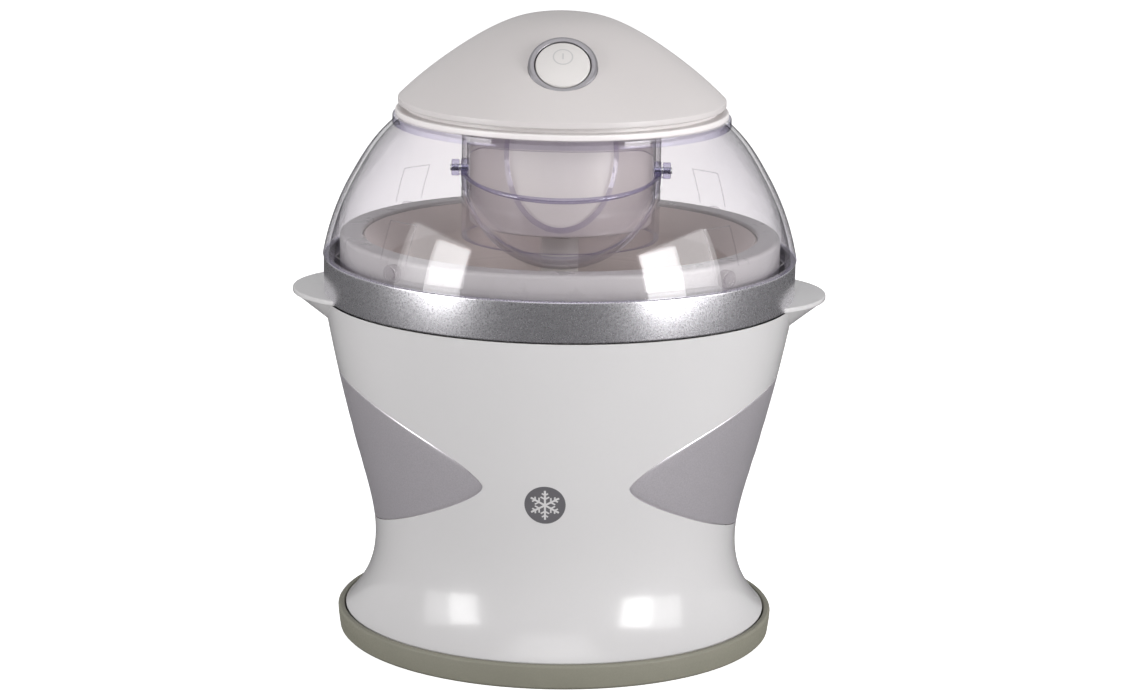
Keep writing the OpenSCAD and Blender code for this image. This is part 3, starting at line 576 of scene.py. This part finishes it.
def side_panels():
    """The panels let into both sides, rounded towards their seams."""
    around = 224
    insets = [0, 0.12, 0.3, 0.6, 1.1, 2, 4, 8, 14, 22, 30]
    drops = [0.45, 0.22, 0.08, 0.02, 0]
    for side, name in ((-1, "left"), (1, "right")):
        bm = bmesh.new()
        loops = []
        for k, inset in enumerate([0] + insets):
            lift = -PANEL_DEPTH if k == 0 else -(drops[k - 1] if k - 1 < len(drops) else 0)
            share = 1 - inset / PANEL_RISE
            loop = []
            for i in range(around):
                y, z = panel_edge(2 * math.pi * (i + 0.5) / around, PANEL_SEAM)
                height = PANEL_MID + (z - PANEL_MID) * share
                loop.append(bm.verts.new(on_body(y * share, height, side, lift)))
            loops.append(loop)
        grid_faces(bm, loops, wrap=True)
        bm.faces.new(loops[-1])
        panel = make(f"{name}_side_panel_look", bm)
        if sum((p.normal.x * p.area for p in panel.data.polygons)) * side < 0:
            panel.data.flip_normals()
        finish_piece(panel, "housing", PANEL, [f"{name}_side_panel"], sharp=60)


def handle_ring():
    """The ring inside the band, its flat seat and the two handle plates."""
    collar = rounded([
        (COLLAR_IN, SHELL_TOP, 0.3), (COLLAR_OUT, SHELL_TOP, 0.3), (COLLAR_OUT, COLLAR_TOP, 0.3),
        (COLLAR_IN, COLLAR_TOP, 0.3)])
    ring = spin("handle_collar", collar)
    finish_piece(ring, "housing", WHITE, ["handle_ring"])
    seat = rounded([
        (HANDLE_SEAT_IN, SHELL_TOP, 0.3), (COLLAR_OUT, SHELL_TOP, 0.3), (COLLAR_OUT, PLATE_TOP, 0.3),
        (HANDLE_SEAT_IN, PLATE_TOP, 0.3)])
    finish_piece(spin("handle_seat", seat), "housing", WHITE)
    # Half angle, seen from the middle of a handle, over which it stands outside the collar
    meet = math.acos((COLLAR_OUT**2 - HANDLE_ROUND**2 - HANDLE_AT**2) / (2 * HANDLE_ROUND * HANDLE_AT))
    across = math.atan2(HANDLE_ROUND * math.sin(meet), HANDLE_AT + HANDLE_ROUND * math.cos(meet))
    for side, name in ((-1, "left"), (1, "right")):
        bm = bmesh.new()
        outer = [meet * (2 * k / 96 - 1) for k in range(97)]
        plan = [(HANDLE_AT + HANDLE_ROUND * math.cos(a), HANDLE_ROUND * math.sin(a)) for a in outer]
        inner = [across * (1 - 2 * k / 48) for k in range(1, 48)]
        plan += [(COLLAR_OUT * math.cos(a), COLLAR_OUT * math.sin(a)) for a in inner]
        lines = []
        for z in (SHELL_TOP, PLATE_TOP):
            lines.append([bm.verts.new(Vector((side * x, y, z)) * MM) for x, y in plan])
        grid_faces(bm, lines, wrap=True)
        bm.faces.new(lines[0])
        bm.faces.new(lines[1])
        bmesh.ops.recalc_face_normals(bm, faces=bm.faces)
        rim = [e for e in bm.edges if abs(e.verts[0].co.z - e.verts[1].co.z) < 1e-7
               and max(math.hypot(v.co.x, v.co.y) for v in e.verts) > (COLLAR_OUT + 0.3) * MM]
        bmesh.ops.bevel(bm, geom=rim, offset=0.7 * MM, segments=3, profile=0.5, affect="EDGES")
        finish_piece(make(f"handle_{name}", bm), "housing", WHITE, sharp=40)


def metal_band():
    """The band with its rounded edges."""
    points = rounded([
        (BAND_R - BAND_WALL, BAND_BOTTOM, 0.3), (BAND_R, BAND_BOTTOM, 0.9), (BAND_R, BAND_TOP, 0.9),
        (BAND_R - BAND_WALL, BAND_TOP, 0.3)])
    finish_piece(spin("metal_band_look", points), "housing", BAND, ["metal_band"])


# ---------- Bowl ----------
def liner_r(z):
    """Outside radius of the liner's straight wall at a height."""
    return LINER_FOOT_R + (LINER_TOP_R - LINER_FOOT_R) * (z - LINER_FLOOR) / (SHOULDER - LINER_FLOOR)


def bowl():
    """The metal inner wall of the bowl and its white rim."""
    corner, top, foot = 8, liner_r(SHOULDER), liner_r(LINER_FLOOR)
    inner_floor = LINER_FLOOR + LINER_WALL
    liner = rounded([
        (0, LINER_FLOOR), (foot, LINER_FLOOR, corner), (top, SHOULDER, 2.5), (RIM_IN, RIM_TOP - 2, 0.4),
        (RIM_IN - 1.1, RIM_TOP - 1.4, 0.3), (top - LINER_WALL, SHOULDER + 0.8, 2.5),
        (foot - LINER_WALL, inner_floor, corner), (0, inner_floor)], steps=8)
    finish_piece(spin("bowl_liner_look", liner), "bowl", LINER, ["bowl_liner"])
    wall_in = 91.9
    foot_in = wall_in - 2
    rim = rounded([
        (foot_in, RIM_BOTTOM, 0.2), (RIM_OUT, RIM_BOTTOM, 0.4), (RIM_OUT, RIM_TOP, 2.4), (RIM_IN, RIM_TOP, 2),
        (RIM_IN, RIM_TOP - 2.6, 0.3), (RIM_IN + 2.6, RIM_TOP - 4, 0.5), (RIM_OUT - RIM_WALL, RIM_TOP - 4, 1),
        (RIM_OUT - RIM_WALL, RIM_BOTTOM + 2.2, 0.5), (foot_in, RIM_BOTTOM + 2.2, 0.2)], steps=7)
    finish_piece(spin("bowl_rim_look", rim), "bowl", RIM, ["bowl_rim"])


# ---------- Lid ----------
def window_cutter():
    """The space that the scoop and its window need: part of a ball, squared off at sides and top."""
    ball_r = SCOOP_R + 0.6
    slopes = [math.pi * k / 96 for k in range(97)]
    arc = [(ball_r * math.sin(a), -ball_r * math.cos(a)) for a in slopes]
    arc[0], arc[-1] = (0, -ball_r), (0, ball_r)
    ball = place(spin("ball", arc, segments=192, closed=False), Matrix.Translation(SCOOP_CENTRE))
    half, turn, far = SCOOP_R + 2, 11, 150
    shoulder = DECK_BOTTOM - 11.6
    plan = [(-half, far), (half, far), (half, shoulder)]
    arcs = [math.radians(90 * k / 16) for k in range(17)]
    middle = SCOOP_R - turn
    plan += [(middle + turn * math.cos(a), shoulder + turn * math.sin(a)) for a in arcs]
    plan += [(-middle - turn * math.cos(a), shoulder + turn * math.sin(a)) for a in reversed(arcs)]
    plan += [(-half, shoulder)]
    bm = bmesh.new()
    lines = [[bm.verts.new(Vector((x, y, z)) * MM) for x, z in plan] for y in (-far, -0.5)]
    grid_faces(bm, lines, wrap=True)
    bm.faces.new(lines[0])
    bm.faces.new(lines[1])
    combine(ball, make("block", bm), "INTERSECT")
    return ball


def lid():
    """The clear dome with its deck, tube and skirt, the scoop's ears and pins, and the locks."""
    flange_top, tube_out, deck_under = DOME_BOTTOM + 2.2, TUBE_IN + TUBE_WALL, DECK_TOP - DECK_WALL
    skirt_in, skirt_foot = SKIRT_OUT - SKIRT_WALL, DOME_BOTTOM - SKIRT_DROP
    dome = wall_line(DOME_KNOTS, 64)
    inside = [p for p in reversed(wall_line(DOME_KNOTS, 64, DOME_WALL)) if p[1] > flange_top]
    deck = rounded([
        dome[-1], (DECK_R, DECK_TOP, 0.7), (TUBE_IN, DECK_TOP, 0.4), (TUBE_IN, TUBE_FOOT, 0.4),
        (tube_out, TUBE_FOOT, 0.4), (tube_out, deck_under, 1), (DECK_R - DOME_WALL - 0.4, deck_under, 1),
        inside[0]])[1:-1]
    skirt = rounded([
        inside[-1], (skirt_in, flange_top, 0.5), (skirt_in, skirt_foot, 0.3), (SKIRT_OUT, skirt_foot, 0.3),
        (SKIRT_OUT, DOME_BOTTOM, 0.2), dome[0]])[1:-1]
    shell = spin("lid_dome_look", dome + deck + inside + skirt, segments=FINE_TURNS)
    whole = cut(shell, window_cutter())
    # The deck's edge, the dome's foot and the tube's end are as dark as the cut faces
    for p in shell.data.polygons:
        z = p.center.z / MM
        r = math.hypot(p.center.x, p.center.y) / MM
        rim = z > DECK_BOTTOM - 0.2 and r > DECK_R - 0.3
        foot = z < DOME_BOTTOM + 0.35 and r > SKIRT_OUT - 0.4
        tube_end = z < TUBE_FOOT + 0.5 and r < tube_out + 0.2
        if rim or foot or tube_end:
            p.material_index = CUT_FACES
    carry_normals(shell, whole)
    finish_piece(shell, "lid", [CLEAR, EDGE], ["lid_dome"], sharp=None)
    for side, name in ((-1, "left"), (1, "right")):
        at = Vector((side * (SCOOP_R + EAR_GAP + EAR_WIDTH / 2), SCOOP_CENTRE.y, SCOOP_CENTRE.z))
        ear = spin(f"scoop_ear_{name}", rounded([
            (PIN_R, -EAR_WIDTH / 2, 0.2), (EAR_R, -EAR_WIDTH / 2, 0.5), (EAR_R, EAR_WIDTH / 2, 0.5),
            (PIN_R, EAR_WIDTH / 2, 0.2)]), segments=64)
        finish_piece(place(ear, lay_x(1, at)), "lid", EDGE)
        outer = SCOOP_R + EAR_GAP + EAR_WIDTH + 0.6
        pin = spin(f"scoop_pin_{name}", rounded([
            (0, 0), (PIN_R, 0, 0.3), (PIN_R, PIN_LENGTH, 0.4), (0, PIN_LENGTH)]), segments=48)
        foot = Vector((side * (outer - PIN_LENGTH), SCOOP_CENTRE.y, SCOOP_CENTRE.z))
        stands_for = ["scoop_pins"] if side < 0 else ()
        finish_piece(place(pin, lay_x(side, foot)), "lid", STEEL, stands_for)
    for k, angle in enumerate(LOCK_ANGLES):
        lock(k, math.radians(angle))


def lock(k, angle):
    """One of the lid's four locking points: a hollow boss, and a raised frame on the dome above it."""
    z = DOME_BOTTOM + 4.9
    r = value_at(DOME_KNOTS, z)
    turn = Matrix.Rotation(angle, 4, "Z")
    boss_r, hole_r, length, hole_floor = 4.2, 2.5, 3.6, 2.0
    boss = spin(f"lock_boss_{k}", rounded([
        (0, 0), (boss_r, 0, 0.3), (boss_r, length, 0.5), (hole_r, length, 0.5), (hole_r, hole_floor, 0.3),
        (0, hole_floor)]), segments=64)
    place(boss, turn @ Matrix.Translation((r - 3, 0, z)) @ Matrix.Rotation(math.pi / 2, 4, "Y"))
    finish_piece(boss, "lid", CLEAR)
    half, bottom, top, wide, proud, sunk = 8, DOME_BOTTOM + 10, DOME_BOTTOM + 27, 0.16, 0.02, -0.6
    bm = bmesh.new()
    bars = [((-half, bottom), (-half, top)), ((half, bottom), (half, top)), ((-half, top), (half, top))]
    for (x0, z0), (x1, z1) in bars:
        upright = abs(x1 - x0) < 1e-6
        rows = []
        for i in range(13):
            t = i / 12
            x, h = x0 + (x1 - x0) * t, z0 + (z1 - z0) * t
            sides = [(x - wide, h), (x + wide, h)] if upright else [(x, h - wide), (x, h + wide)]
            row = []
            for lift in (proud, sunk):
                for sx, sh in (sides if lift > 0 else reversed(sides)):
                    rr = value_at(DOME_KNOTS, sh) + lift
                    row.append(bm.verts.new(turn @ Vector((math.sqrt(rr * rr - sx * sx), sx, sh)) * MM))
            rows.append(row)
        grid_faces(bm, rows, wrap=True)
        bm.faces.new(rows[0])
        bm.faces.new(rows[-1])
    finish_piece(make(f"lock_frame_{k}", bm), "lid", CLEAR)


def on_ball(r, below, around):
    """Point of a ball about the scoop's pivot, at angles below the horizontal and round from +X."""
    out = r * math.sin(around)
    reach = Vector((r * math.cos(around), -out * math.cos(below), -out * math.sin(below)))
    return (SCOOP_CENTRE + reach) * MM


def scoop():
    """The filling scoop, part of a hollow ball, with a bead along its lip and two bosses."""
    start, stop = math.radians(SCOOP_LIP), math.radians(SCOOP_LIP + SCOOP_SPAN)
    turns = [math.pi * k / 128 for k in range(129)]
    slopes = [start + (stop - start) * k / 64 for k in range(65)]
    bm = bmesh.new()
    rows = [[bm.verts.new(on_ball(SCOOP_R, s, a)) for a in turns] for s in slopes]
    inside_r = SCOOP_R - SCOOP_WALL
    rows += [[bm.verts.new(on_ball(inside_r, s, a)) for a in turns] for s in reversed(slopes)]
    grid_faces(bm, rows + rows[:1])
    bmesh.ops.remove_doubles(bm, verts=bm.verts, dist=MERGE * MM)
    shell = make("scoop_look", bm)
    near = 0.005
    for p in shell.data.polygons:
        down = math.atan2(SCOOP_CENTRE.z * MM - p.center.z, SCOOP_CENTRE.y * MM - p.center.y)
        if down > stop - near or down < start + near:
            p.material_index = CUT_FACES
    shell.data.materials.append(None)
    finish_piece(shell, "scoop", [CLEAR, EDGE], ["scoop"])
    bead = 1.3
    bm = bmesh.new()
    rows = []
    for a in turns:
        row = []
        for k in range(16):
            t = 2 * math.pi * k / 16
            drop = start + bead * math.sin(t) / (SCOOP_R - bead)
            row.append(bm.verts.new(on_ball(SCOOP_R - bead + bead * math.cos(t), drop, a)))
        rows.append(row)
    grid_faces(bm, rows, wrap=True)
    bmesh.ops.remove_doubles(bm, verts=bm.verts, dist=MERGE * MM)
    finish_piece(make("scoop_lip", bm), "scoop", EDGE)
    half, hole_r = BOSS_LENGTH / 2, PIN_R + 0.05
    for side, name in ((-1, "left"), (1, "right")):
        boss = spin(f"scoop_boss_{name}", rounded([
            (hole_r, -half, 0.2), (BOSS_R, -half, 0.5), (BOSS_R, half, 0.5), (hole_r, half, 0.2)]),
            segments=64)
        at = Vector((side * (SCOOP_R - 0.3 - half), SCOOP_CENTRE.y, SCOOP_CENTRE.z))
        finish_piece(place(boss, lay_x(1, at)), "scoop", EDGE)


# ---------- Power unit ----------
# From a piece drawn round the button's own line to its place on the top cover
TO_BUTTON = Matrix.Translation(BUTTON_AT) @ Matrix.Rotation(math.radians(90 - BUTTON_TILT), 4, "X")


def top_cover():
    """The domed cover with the button's well and the boss of the cord's gland."""
    crown = smooth(COVER_KNOTS, 96)
    roof = [(x - COVER_WALL, z - COVER_WALL) for x, z in crown if x > COVER_WALL]
    edge = rounded([
        crown[-2], (COVER_R, COVER_EDGE_TOP, 0.5), (COVER_R, COVER_EDGE_BOTTOM, 1.1),
        (COVER_R - COVER_WALL, COVER_EDGE_BOTTOM, 0.4), roof[-1]])[1:-1]
    points = crown[:-1] + edge + list(reversed(roof)) + [(0, COVER_TOP - COVER_WALL)]
    cover = spin("top_cover_look", points, segments=FINE_TURNS)
    hole_r = BEZEL_OUT + 0.15
    drill = spin("drill", [(0, -14), (hole_r, -14), (hole_r, 20), (0, 20)], segments=128)
    whole = cut(cover, place(drill, TO_BUTTON))
    carry_normals(cover, whole)
    finish_piece(cover, "power_unit", [COVER, DARK], ["top_cover"], sharp=None)
    sleeve = place(spin("button_well", rounded([
        (BEZEL_STEP, -BUTTON_WELL, 0.2), (BEZEL_OUT, -BUTTON_WELL, 0.2), (BEZEL_OUT, -2.3, 0.2),
        (BEZEL_STEP, -2.3, 0.2)]), segments=128), TO_BUTTON)
    finish_piece(sleeve, "power_unit", COVER)
    reach, gland_r, boss_r = COVER_R - GLAND_SEAT, 4.6, 6.8
    stub = spin("gland_boss", rounded([
        (gland_r, 0, 0.1), (boss_r, 0, 0.3), (boss_r, reach, 0.5), (gland_r, reach, 0.3)]), segments=96)
    seat = Matrix.Translation((0, GLAND_SEAT, COVER_EDGE_BOTTOM + 6.9))
    place(stub, seat @ Matrix.Rotation(math.radians(-90), 4, "X"))
    finish_piece(stub, "power_unit", COVER)


def lower_cover():
    """The plate on the lid's deck, with the motor housing below it and a lip above it."""
    lip_out = COVER_R - COVER_WALL - 1
    lip_in, plate_r, plate_top = lip_out - 2.2, DECK_R - 1.3, DECK_TOP + PLATE_THICK
    hub_in, hub_floor = HUB_R - HUB_WALL, HUB_BOTTOM + HUB_WALL
    points = rounded([
        (SHAFT_HOLE_R, HUB_BOTTOM), (HUB_R, HUB_BOTTOM, 1.6), (HUB_R, DECK_TOP, 0.5),
        (plate_r, DECK_TOP, 0.4), (plate_r, plate_top, 0.9), (lip_out, plate_top, 0.4),
        (lip_out, COVER_EDGE_BOTTOM, 0.3), (lip_in, COVER_EDGE_BOTTOM, 0.3), (lip_in, plate_top, 0.3),
        (hub_in, plate_top, 0.5), (hub_in, hub_floor, 0.5), (SHAFT_HOLE_R, hub_floor)])
    # The lower cover and its motor housing carry the lighter copy of the cover's plastic, as painted light
    finish_piece(spin("lower_cover_look", points), "power_unit", HUB_PAINTED_LIGHT, ["lower_cover"])


def bezel_and_button():
    """The button's ring, and the button with its crowned top."""
    bezel = spin("button_bezel_look", rounded([
        (BEZEL_IN, -BUTTON_WELL, 0.2), (BEZEL_STEP, -BUTTON_WELL, 0.2), (BEZEL_STEP, -2.2, 0.1),
        (BEZEL_OUT, -2.2, 0.1), (BEZEL_OUT, 0.2, 0.3), (BEZEL_OUT - 1.0, 0.8, 0.5), (BEZEL_IN, 0.8, 0.5)]),
        segments=160)
    finish_piece(place(bezel, TO_BUTTON), "power_unit", BEZEL, ["button_bezel"])
    ball, crown, edge_r = 40, 2.6, 0.9
    skirt, stem_r, stem = 5, 4, 10.8
    edge = BUTTON_R - edge_r
    fall = crown - ball + math.sqrt(ball**2 - edge**2)
    top = [(x, crown - ball + math.sqrt(ball**2 - x**2)) for x in [edge * k / 24 for k in range(25)]]
    slopes = [math.radians(a) for a in range(15, 91, 15)]
    side = [(edge + edge_r * math.sin(a), fall - edge_r + edge_r * math.cos(a)) for a in slopes]
    points = top + side + rounded([
        side[-1], (BUTTON_R, -skirt, 0.3), (stem_r, -skirt, 0.3), (stem_r, -stem, 0.3), (0, -stem)])[1:]
    button = place(spin("power_button_look", points, segments=160), TO_BUTTON)
    finish_piece(button, "button", BUTTON, ["power_button"])
    power_symbol(ball, crown)


def power_symbol(ball, crown):
    """Ring and bar on the button, as a thin inlay that follows its crown."""
    centre_y, ring_r, wide, lift = 3.2, 4.25, 0.3, 0.03
    bar_foot, bar_length = 1.7, 3.4

    def on_button(x, y):
        z = crown - ball + math.sqrt(ball**2 - x * x - y * y) + lift
        return (TO_BUTTON @ Vector((x, y, z))) * MM

    bm = bmesh.new()
    rows = []
    for k in range(97):
        a = 2 * math.pi * k / 96
        spots = [(r * math.cos(a), centre_y + r * math.sin(a)) for r in (ring_r - wide, ring_r + wide)]
        rows.append([bm.verts.new(on_button(x, y)) for x, y in spots])
    grid_faces(bm, rows)
    heights = [bar_foot + bar_length * k / 8 for k in range(9)]
    grid_faces(bm, [[bm.verts.new(on_button(x, y)) for x in (-wide, wide)] for y in heights])
    bmesh.ops.remove_doubles(bm, verts=bm.verts, dist=MERGE / 2 * MM)
    finish_piece(make("power_symbol", bm), "button", SYMBOL)


# ---------- Emblem ----------
def emblem():
    """A plain roundel with a six-armed snowflake, printed on the front of the housing."""
    centre_turn, centre_z, radius = -0.052, 83.0, 9.2
    arm_length, arm_width, twig_width = 7.2, 0.9, 0.7
    twigs = ((3.0, 2.2), (5.0, 1.6))
    disc_lift, flake_lift = 0.03, 0.06

    def on_front(u, v, lift):
        z = centre_z + v
        r = value_at(BODY_KNOTS, z) + lift
        turn = centre_turn + u / value_at(BODY_KNOTS, centre_z)
        return Vector((r * math.sin(turn), -r * math.cos(turn), z)) * MM

    bm = bmesh.new()
    loops = []
    for k in range(13):
        rho = radius * (1 - k / 12) if k < 12 else 0.02
        turns = [2 * math.pi * i / 96 for i in range(96)]
        lift = disc_lift if k else 0.01
        loops.append([bm.verts.new(on_front(rho * math.cos(a), rho * math.sin(a), lift)) for a in turns])
    grid_faces(bm, loops, wrap=True)
    disc = make("emblem_disc", bm)
    finish_piece(disc, "housing", PRINT)
    bm = bmesh.new()

    def bar(x0, y0, x1, y1, wide):
        length = math.hypot(x1 - x0, y1 - y0)
        nx, ny = -(y1 - y0) / length * wide / 2, (x1 - x0) / length * wide / 2
        rows = []
        for k in range(9):
            t = k / 8
            x, y = x0 + (x1 - x0) * t, y0 + (y1 - y0) * t
            rows.append([bm.verts.new(on_front(x + s * nx, y + s * ny, flake_lift)) for s in (-1, 1)])
        grid_faces(bm, rows)

    for arm in range(6):
        a = math.radians(60 * arm + 90)
        bar(0, 0, arm_length * math.cos(a), arm_length * math.sin(a), arm_width)
        for at, length in twigs:
            for turn in (-60, 60):
                b = a + math.radians(turn)
                x, y = at * math.cos(a), at * math.sin(a)
                bar(x, y, x + length * math.cos(b), y + length * math.sin(b), twig_width)
    finish_piece(make("emblem_snowflake", bm), "housing", WHITE)


# ---------- Carried-over nodes ----------
KEPT = {
    "base_plate": INNER, "base_screws": STEEL, "bowl_well": INNER, "bowl_shell": RIM,
    "freezing_gel": GEL, "paddle": PADDLE, "cover_screws": STEEL, "motor": MOTOR, "gear_plate": STEEL,
    "motor_screws": STEEL, "motor_pinion": NYLON, "idler_axle": STEEL, "idler_gear": NYLON,
    "output_gear": NYLON, "drive_shaft": STEEL, "shaft_bush": BRONZE, "power_switch": BLACK,
    "cord_gland": GLAND}


def kept_nodes():
    """Gives the CAD nodes that are shown as they are their materials and softened edges."""
    for node, material in KEPT.items():
        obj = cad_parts[node]
        if not obj.material_slots:
            obj.data.materials.append(material)
        for slot in obj.material_slots:
            slot.material = material
        soften = obj.modifiers.new("soften", "BEVEL")
        soften.width = 0.25 * MM
        soften.segments = 2
        soften.limit_method = "ANGLE"
        soften.angle_limit = math.radians(40)
        soften.harden_normals = False


base_ring()
body_shell()
side_panels()
handle_ring()
metal_band()
bowl()
lid()
scoop()
top_cover()
lower_cover()
bezel_and_button()
emblem()
kept_nodes()


# ---------- Camera ----------
CAMERA_AT = Vector((0, -1.623 + AXIS_Y * MM, 0.5))
PITCH, ROLL, YAW = math.radians(12.74), math.radians(0.95), math.radians(0.07)
FOCAL_PIXELS, IMAGE_WIDTH, SENSOR = 3574, 1125, 36


def camera():
    """The camera at the photograph's viewing angle, found by fitting the object's round edges."""
    ahead = Vector((math.sin(YAW) * math.cos(PITCH), math.cos(YAW) * math.cos(PITCH), -math.sin(PITCH)))
    right = Vector((math.cos(YAW), -math.sin(YAW), 0))
    up = right.cross(ahead)
    tilted_right = math.cos(ROLL) * right + math.sin(ROLL) * up
    tilted_up = -math.sin(ROLL) * right + math.cos(ROLL) * up
    data = bpy.data.cameras.new("camera")
    data.sensor_width = SENSOR
    data.lens = FOCAL_PIXELS / IMAGE_WIDTH * SENSOR
    data.clip_start, data.clip_end = 0.05, 60
    obj = bpy.data.objects.new("camera", data)
    bpy.context.scene.collection.objects.link(obj)
    turned = Matrix((tilted_right, tilted_up, -ahead)).transposed().to_4x4()
    obj.matrix_world = Matrix.Translation(CAMERA_AT) @ turned
    bpy.context.scene.camera = obj


# ---------- Studio ----------
def softbox(name, azimuth, elevation, distance, wide, tall, power, colour=(1, 1, 1)):
    """An area light aimed at the object. Azimuth 0 is in front and 90 to the right."""
    aim = Vector((0, 0, 0.15))
    a, e = math.radians(azimuth), math.radians(elevation)
    away = Vector((math.sin(a) * math.cos(e), -math.cos(a) * math.cos(e), math.sin(e)))
    data = bpy.data.lights.new(name, "AREA")
    data.shape = "RECTANGLE"
    data.size, data.size_y = wide, tall
    data.energy = power
    data.color = colour
    obj = bpy.data.objects.new(name, data)
    obj.location = aim + away * distance
    obj.rotation_mode = "QUATERNION"
    obj.rotation_quaternion = away.to_track_quat("Z", "Y")
    bpy.context.scene.collection.objects.link(obj)


def backdrop():
    """World light that is darker in front of the object than behind it."""
    world = bpy.data.worlds.new("studio")
    world.use_nodes = True
    tree = world.node_tree
    tree.nodes.clear()
    out = tree.nodes.new("ShaderNodeOutputWorld")
    background = tree.nodes.new("ShaderNodeBackground")
    coords = tree.nodes.new("ShaderNodeTexCoord")
    split = tree.nodes.new("ShaderNodeSeparateXYZ")
    ramp = tree.nodes.new("ShaderNodeValToRGB")
    spread = tree.nodes.new("ShaderNodeMapRange")
    tree.links.new(coords.outputs["Generated"], split.inputs[0])
    tree.links.new(split.outputs["Y"], spread.inputs["Value"])
    spread.inputs["From Min"].default_value = -1
    spread.inputs["From Max"].default_value = 1
    tree.links.new(spread.outputs[0], ramp.inputs[0])
    in_front, behind = rgb(0.17, 0.17, 0.17), rgb(0.50, 0.50, 0.505)
    for stop, position, colour in zip(ramp.color_ramp.elements, (0.3, 0.75), (in_front, behind)):
        stop.position = position
        stop.color = colour
    tree.links.new(ramp.outputs[0], background.inputs[0])
    tree.links.new(background.outputs[0], out.inputs[0])
    bpy.context.scene.world = world


def lights():
    """Soft boxes: azimuth, elevation, distance, width and height in metres, power in watts."""
    softbox("key_right", 51, 11, 1.5, 0.5, 0.8, 8)
    softbox("wing_right", 62, 13, 1.9, 1.4, 1.0, 16)
    softbox("fill_left", -56, 11, 1.5, 0.5, 0.8, 6.5)
    softbox("wing_left", -66, 13, 1.9, 1.2, 1.0, 9)
    softbox("front_high", 0, 48, 1.6, 1.0, 0.7, 3)
    softbox("overhead", 0, 78, 1.5, 1.4, 1.4, 4)


def studio_floor():
    """A pale floor. It glows for the camera alone, and glossy pieces mirror a darker one."""
    n = Nodes("floor")
    cloud = n.noise(3, 2)
    tone = n.mix(n.spread(cloud, 0, 1), rgb(0.90, 0.90, 0.90), rgb(0.94, 0.94, 0.94))
    path = n.add("ShaderNodeLightPath").outputs
    tone = n.mix(path["Is Glossy Ray"], tone, rgb(0.04, 0.039, 0.043))
    glow = n.math("MULTIPLY", path["Is Camera Ray"], 0.8)
    floor_material = n.principled(
        Base_Color=tone, Roughness=0.7, Emission_Color=rgb(1, 1, 1), Emission_Strength=glow)
    bm = bmesh.new()
    bmesh.ops.create_grid(bm, x_segments=8, y_segments=8, size=30)
    floor = make("floor", bm, outward=False)
    floor.data.materials.append(floor_material)


camera()
backdrop()
lights()
studio_floor()
scene = bpy.context.scene
scene.view_settings.view_transform = "Standard"
scene.cycles.transparent_max_bounces = 48
scene.cycles.max_bounces = 12
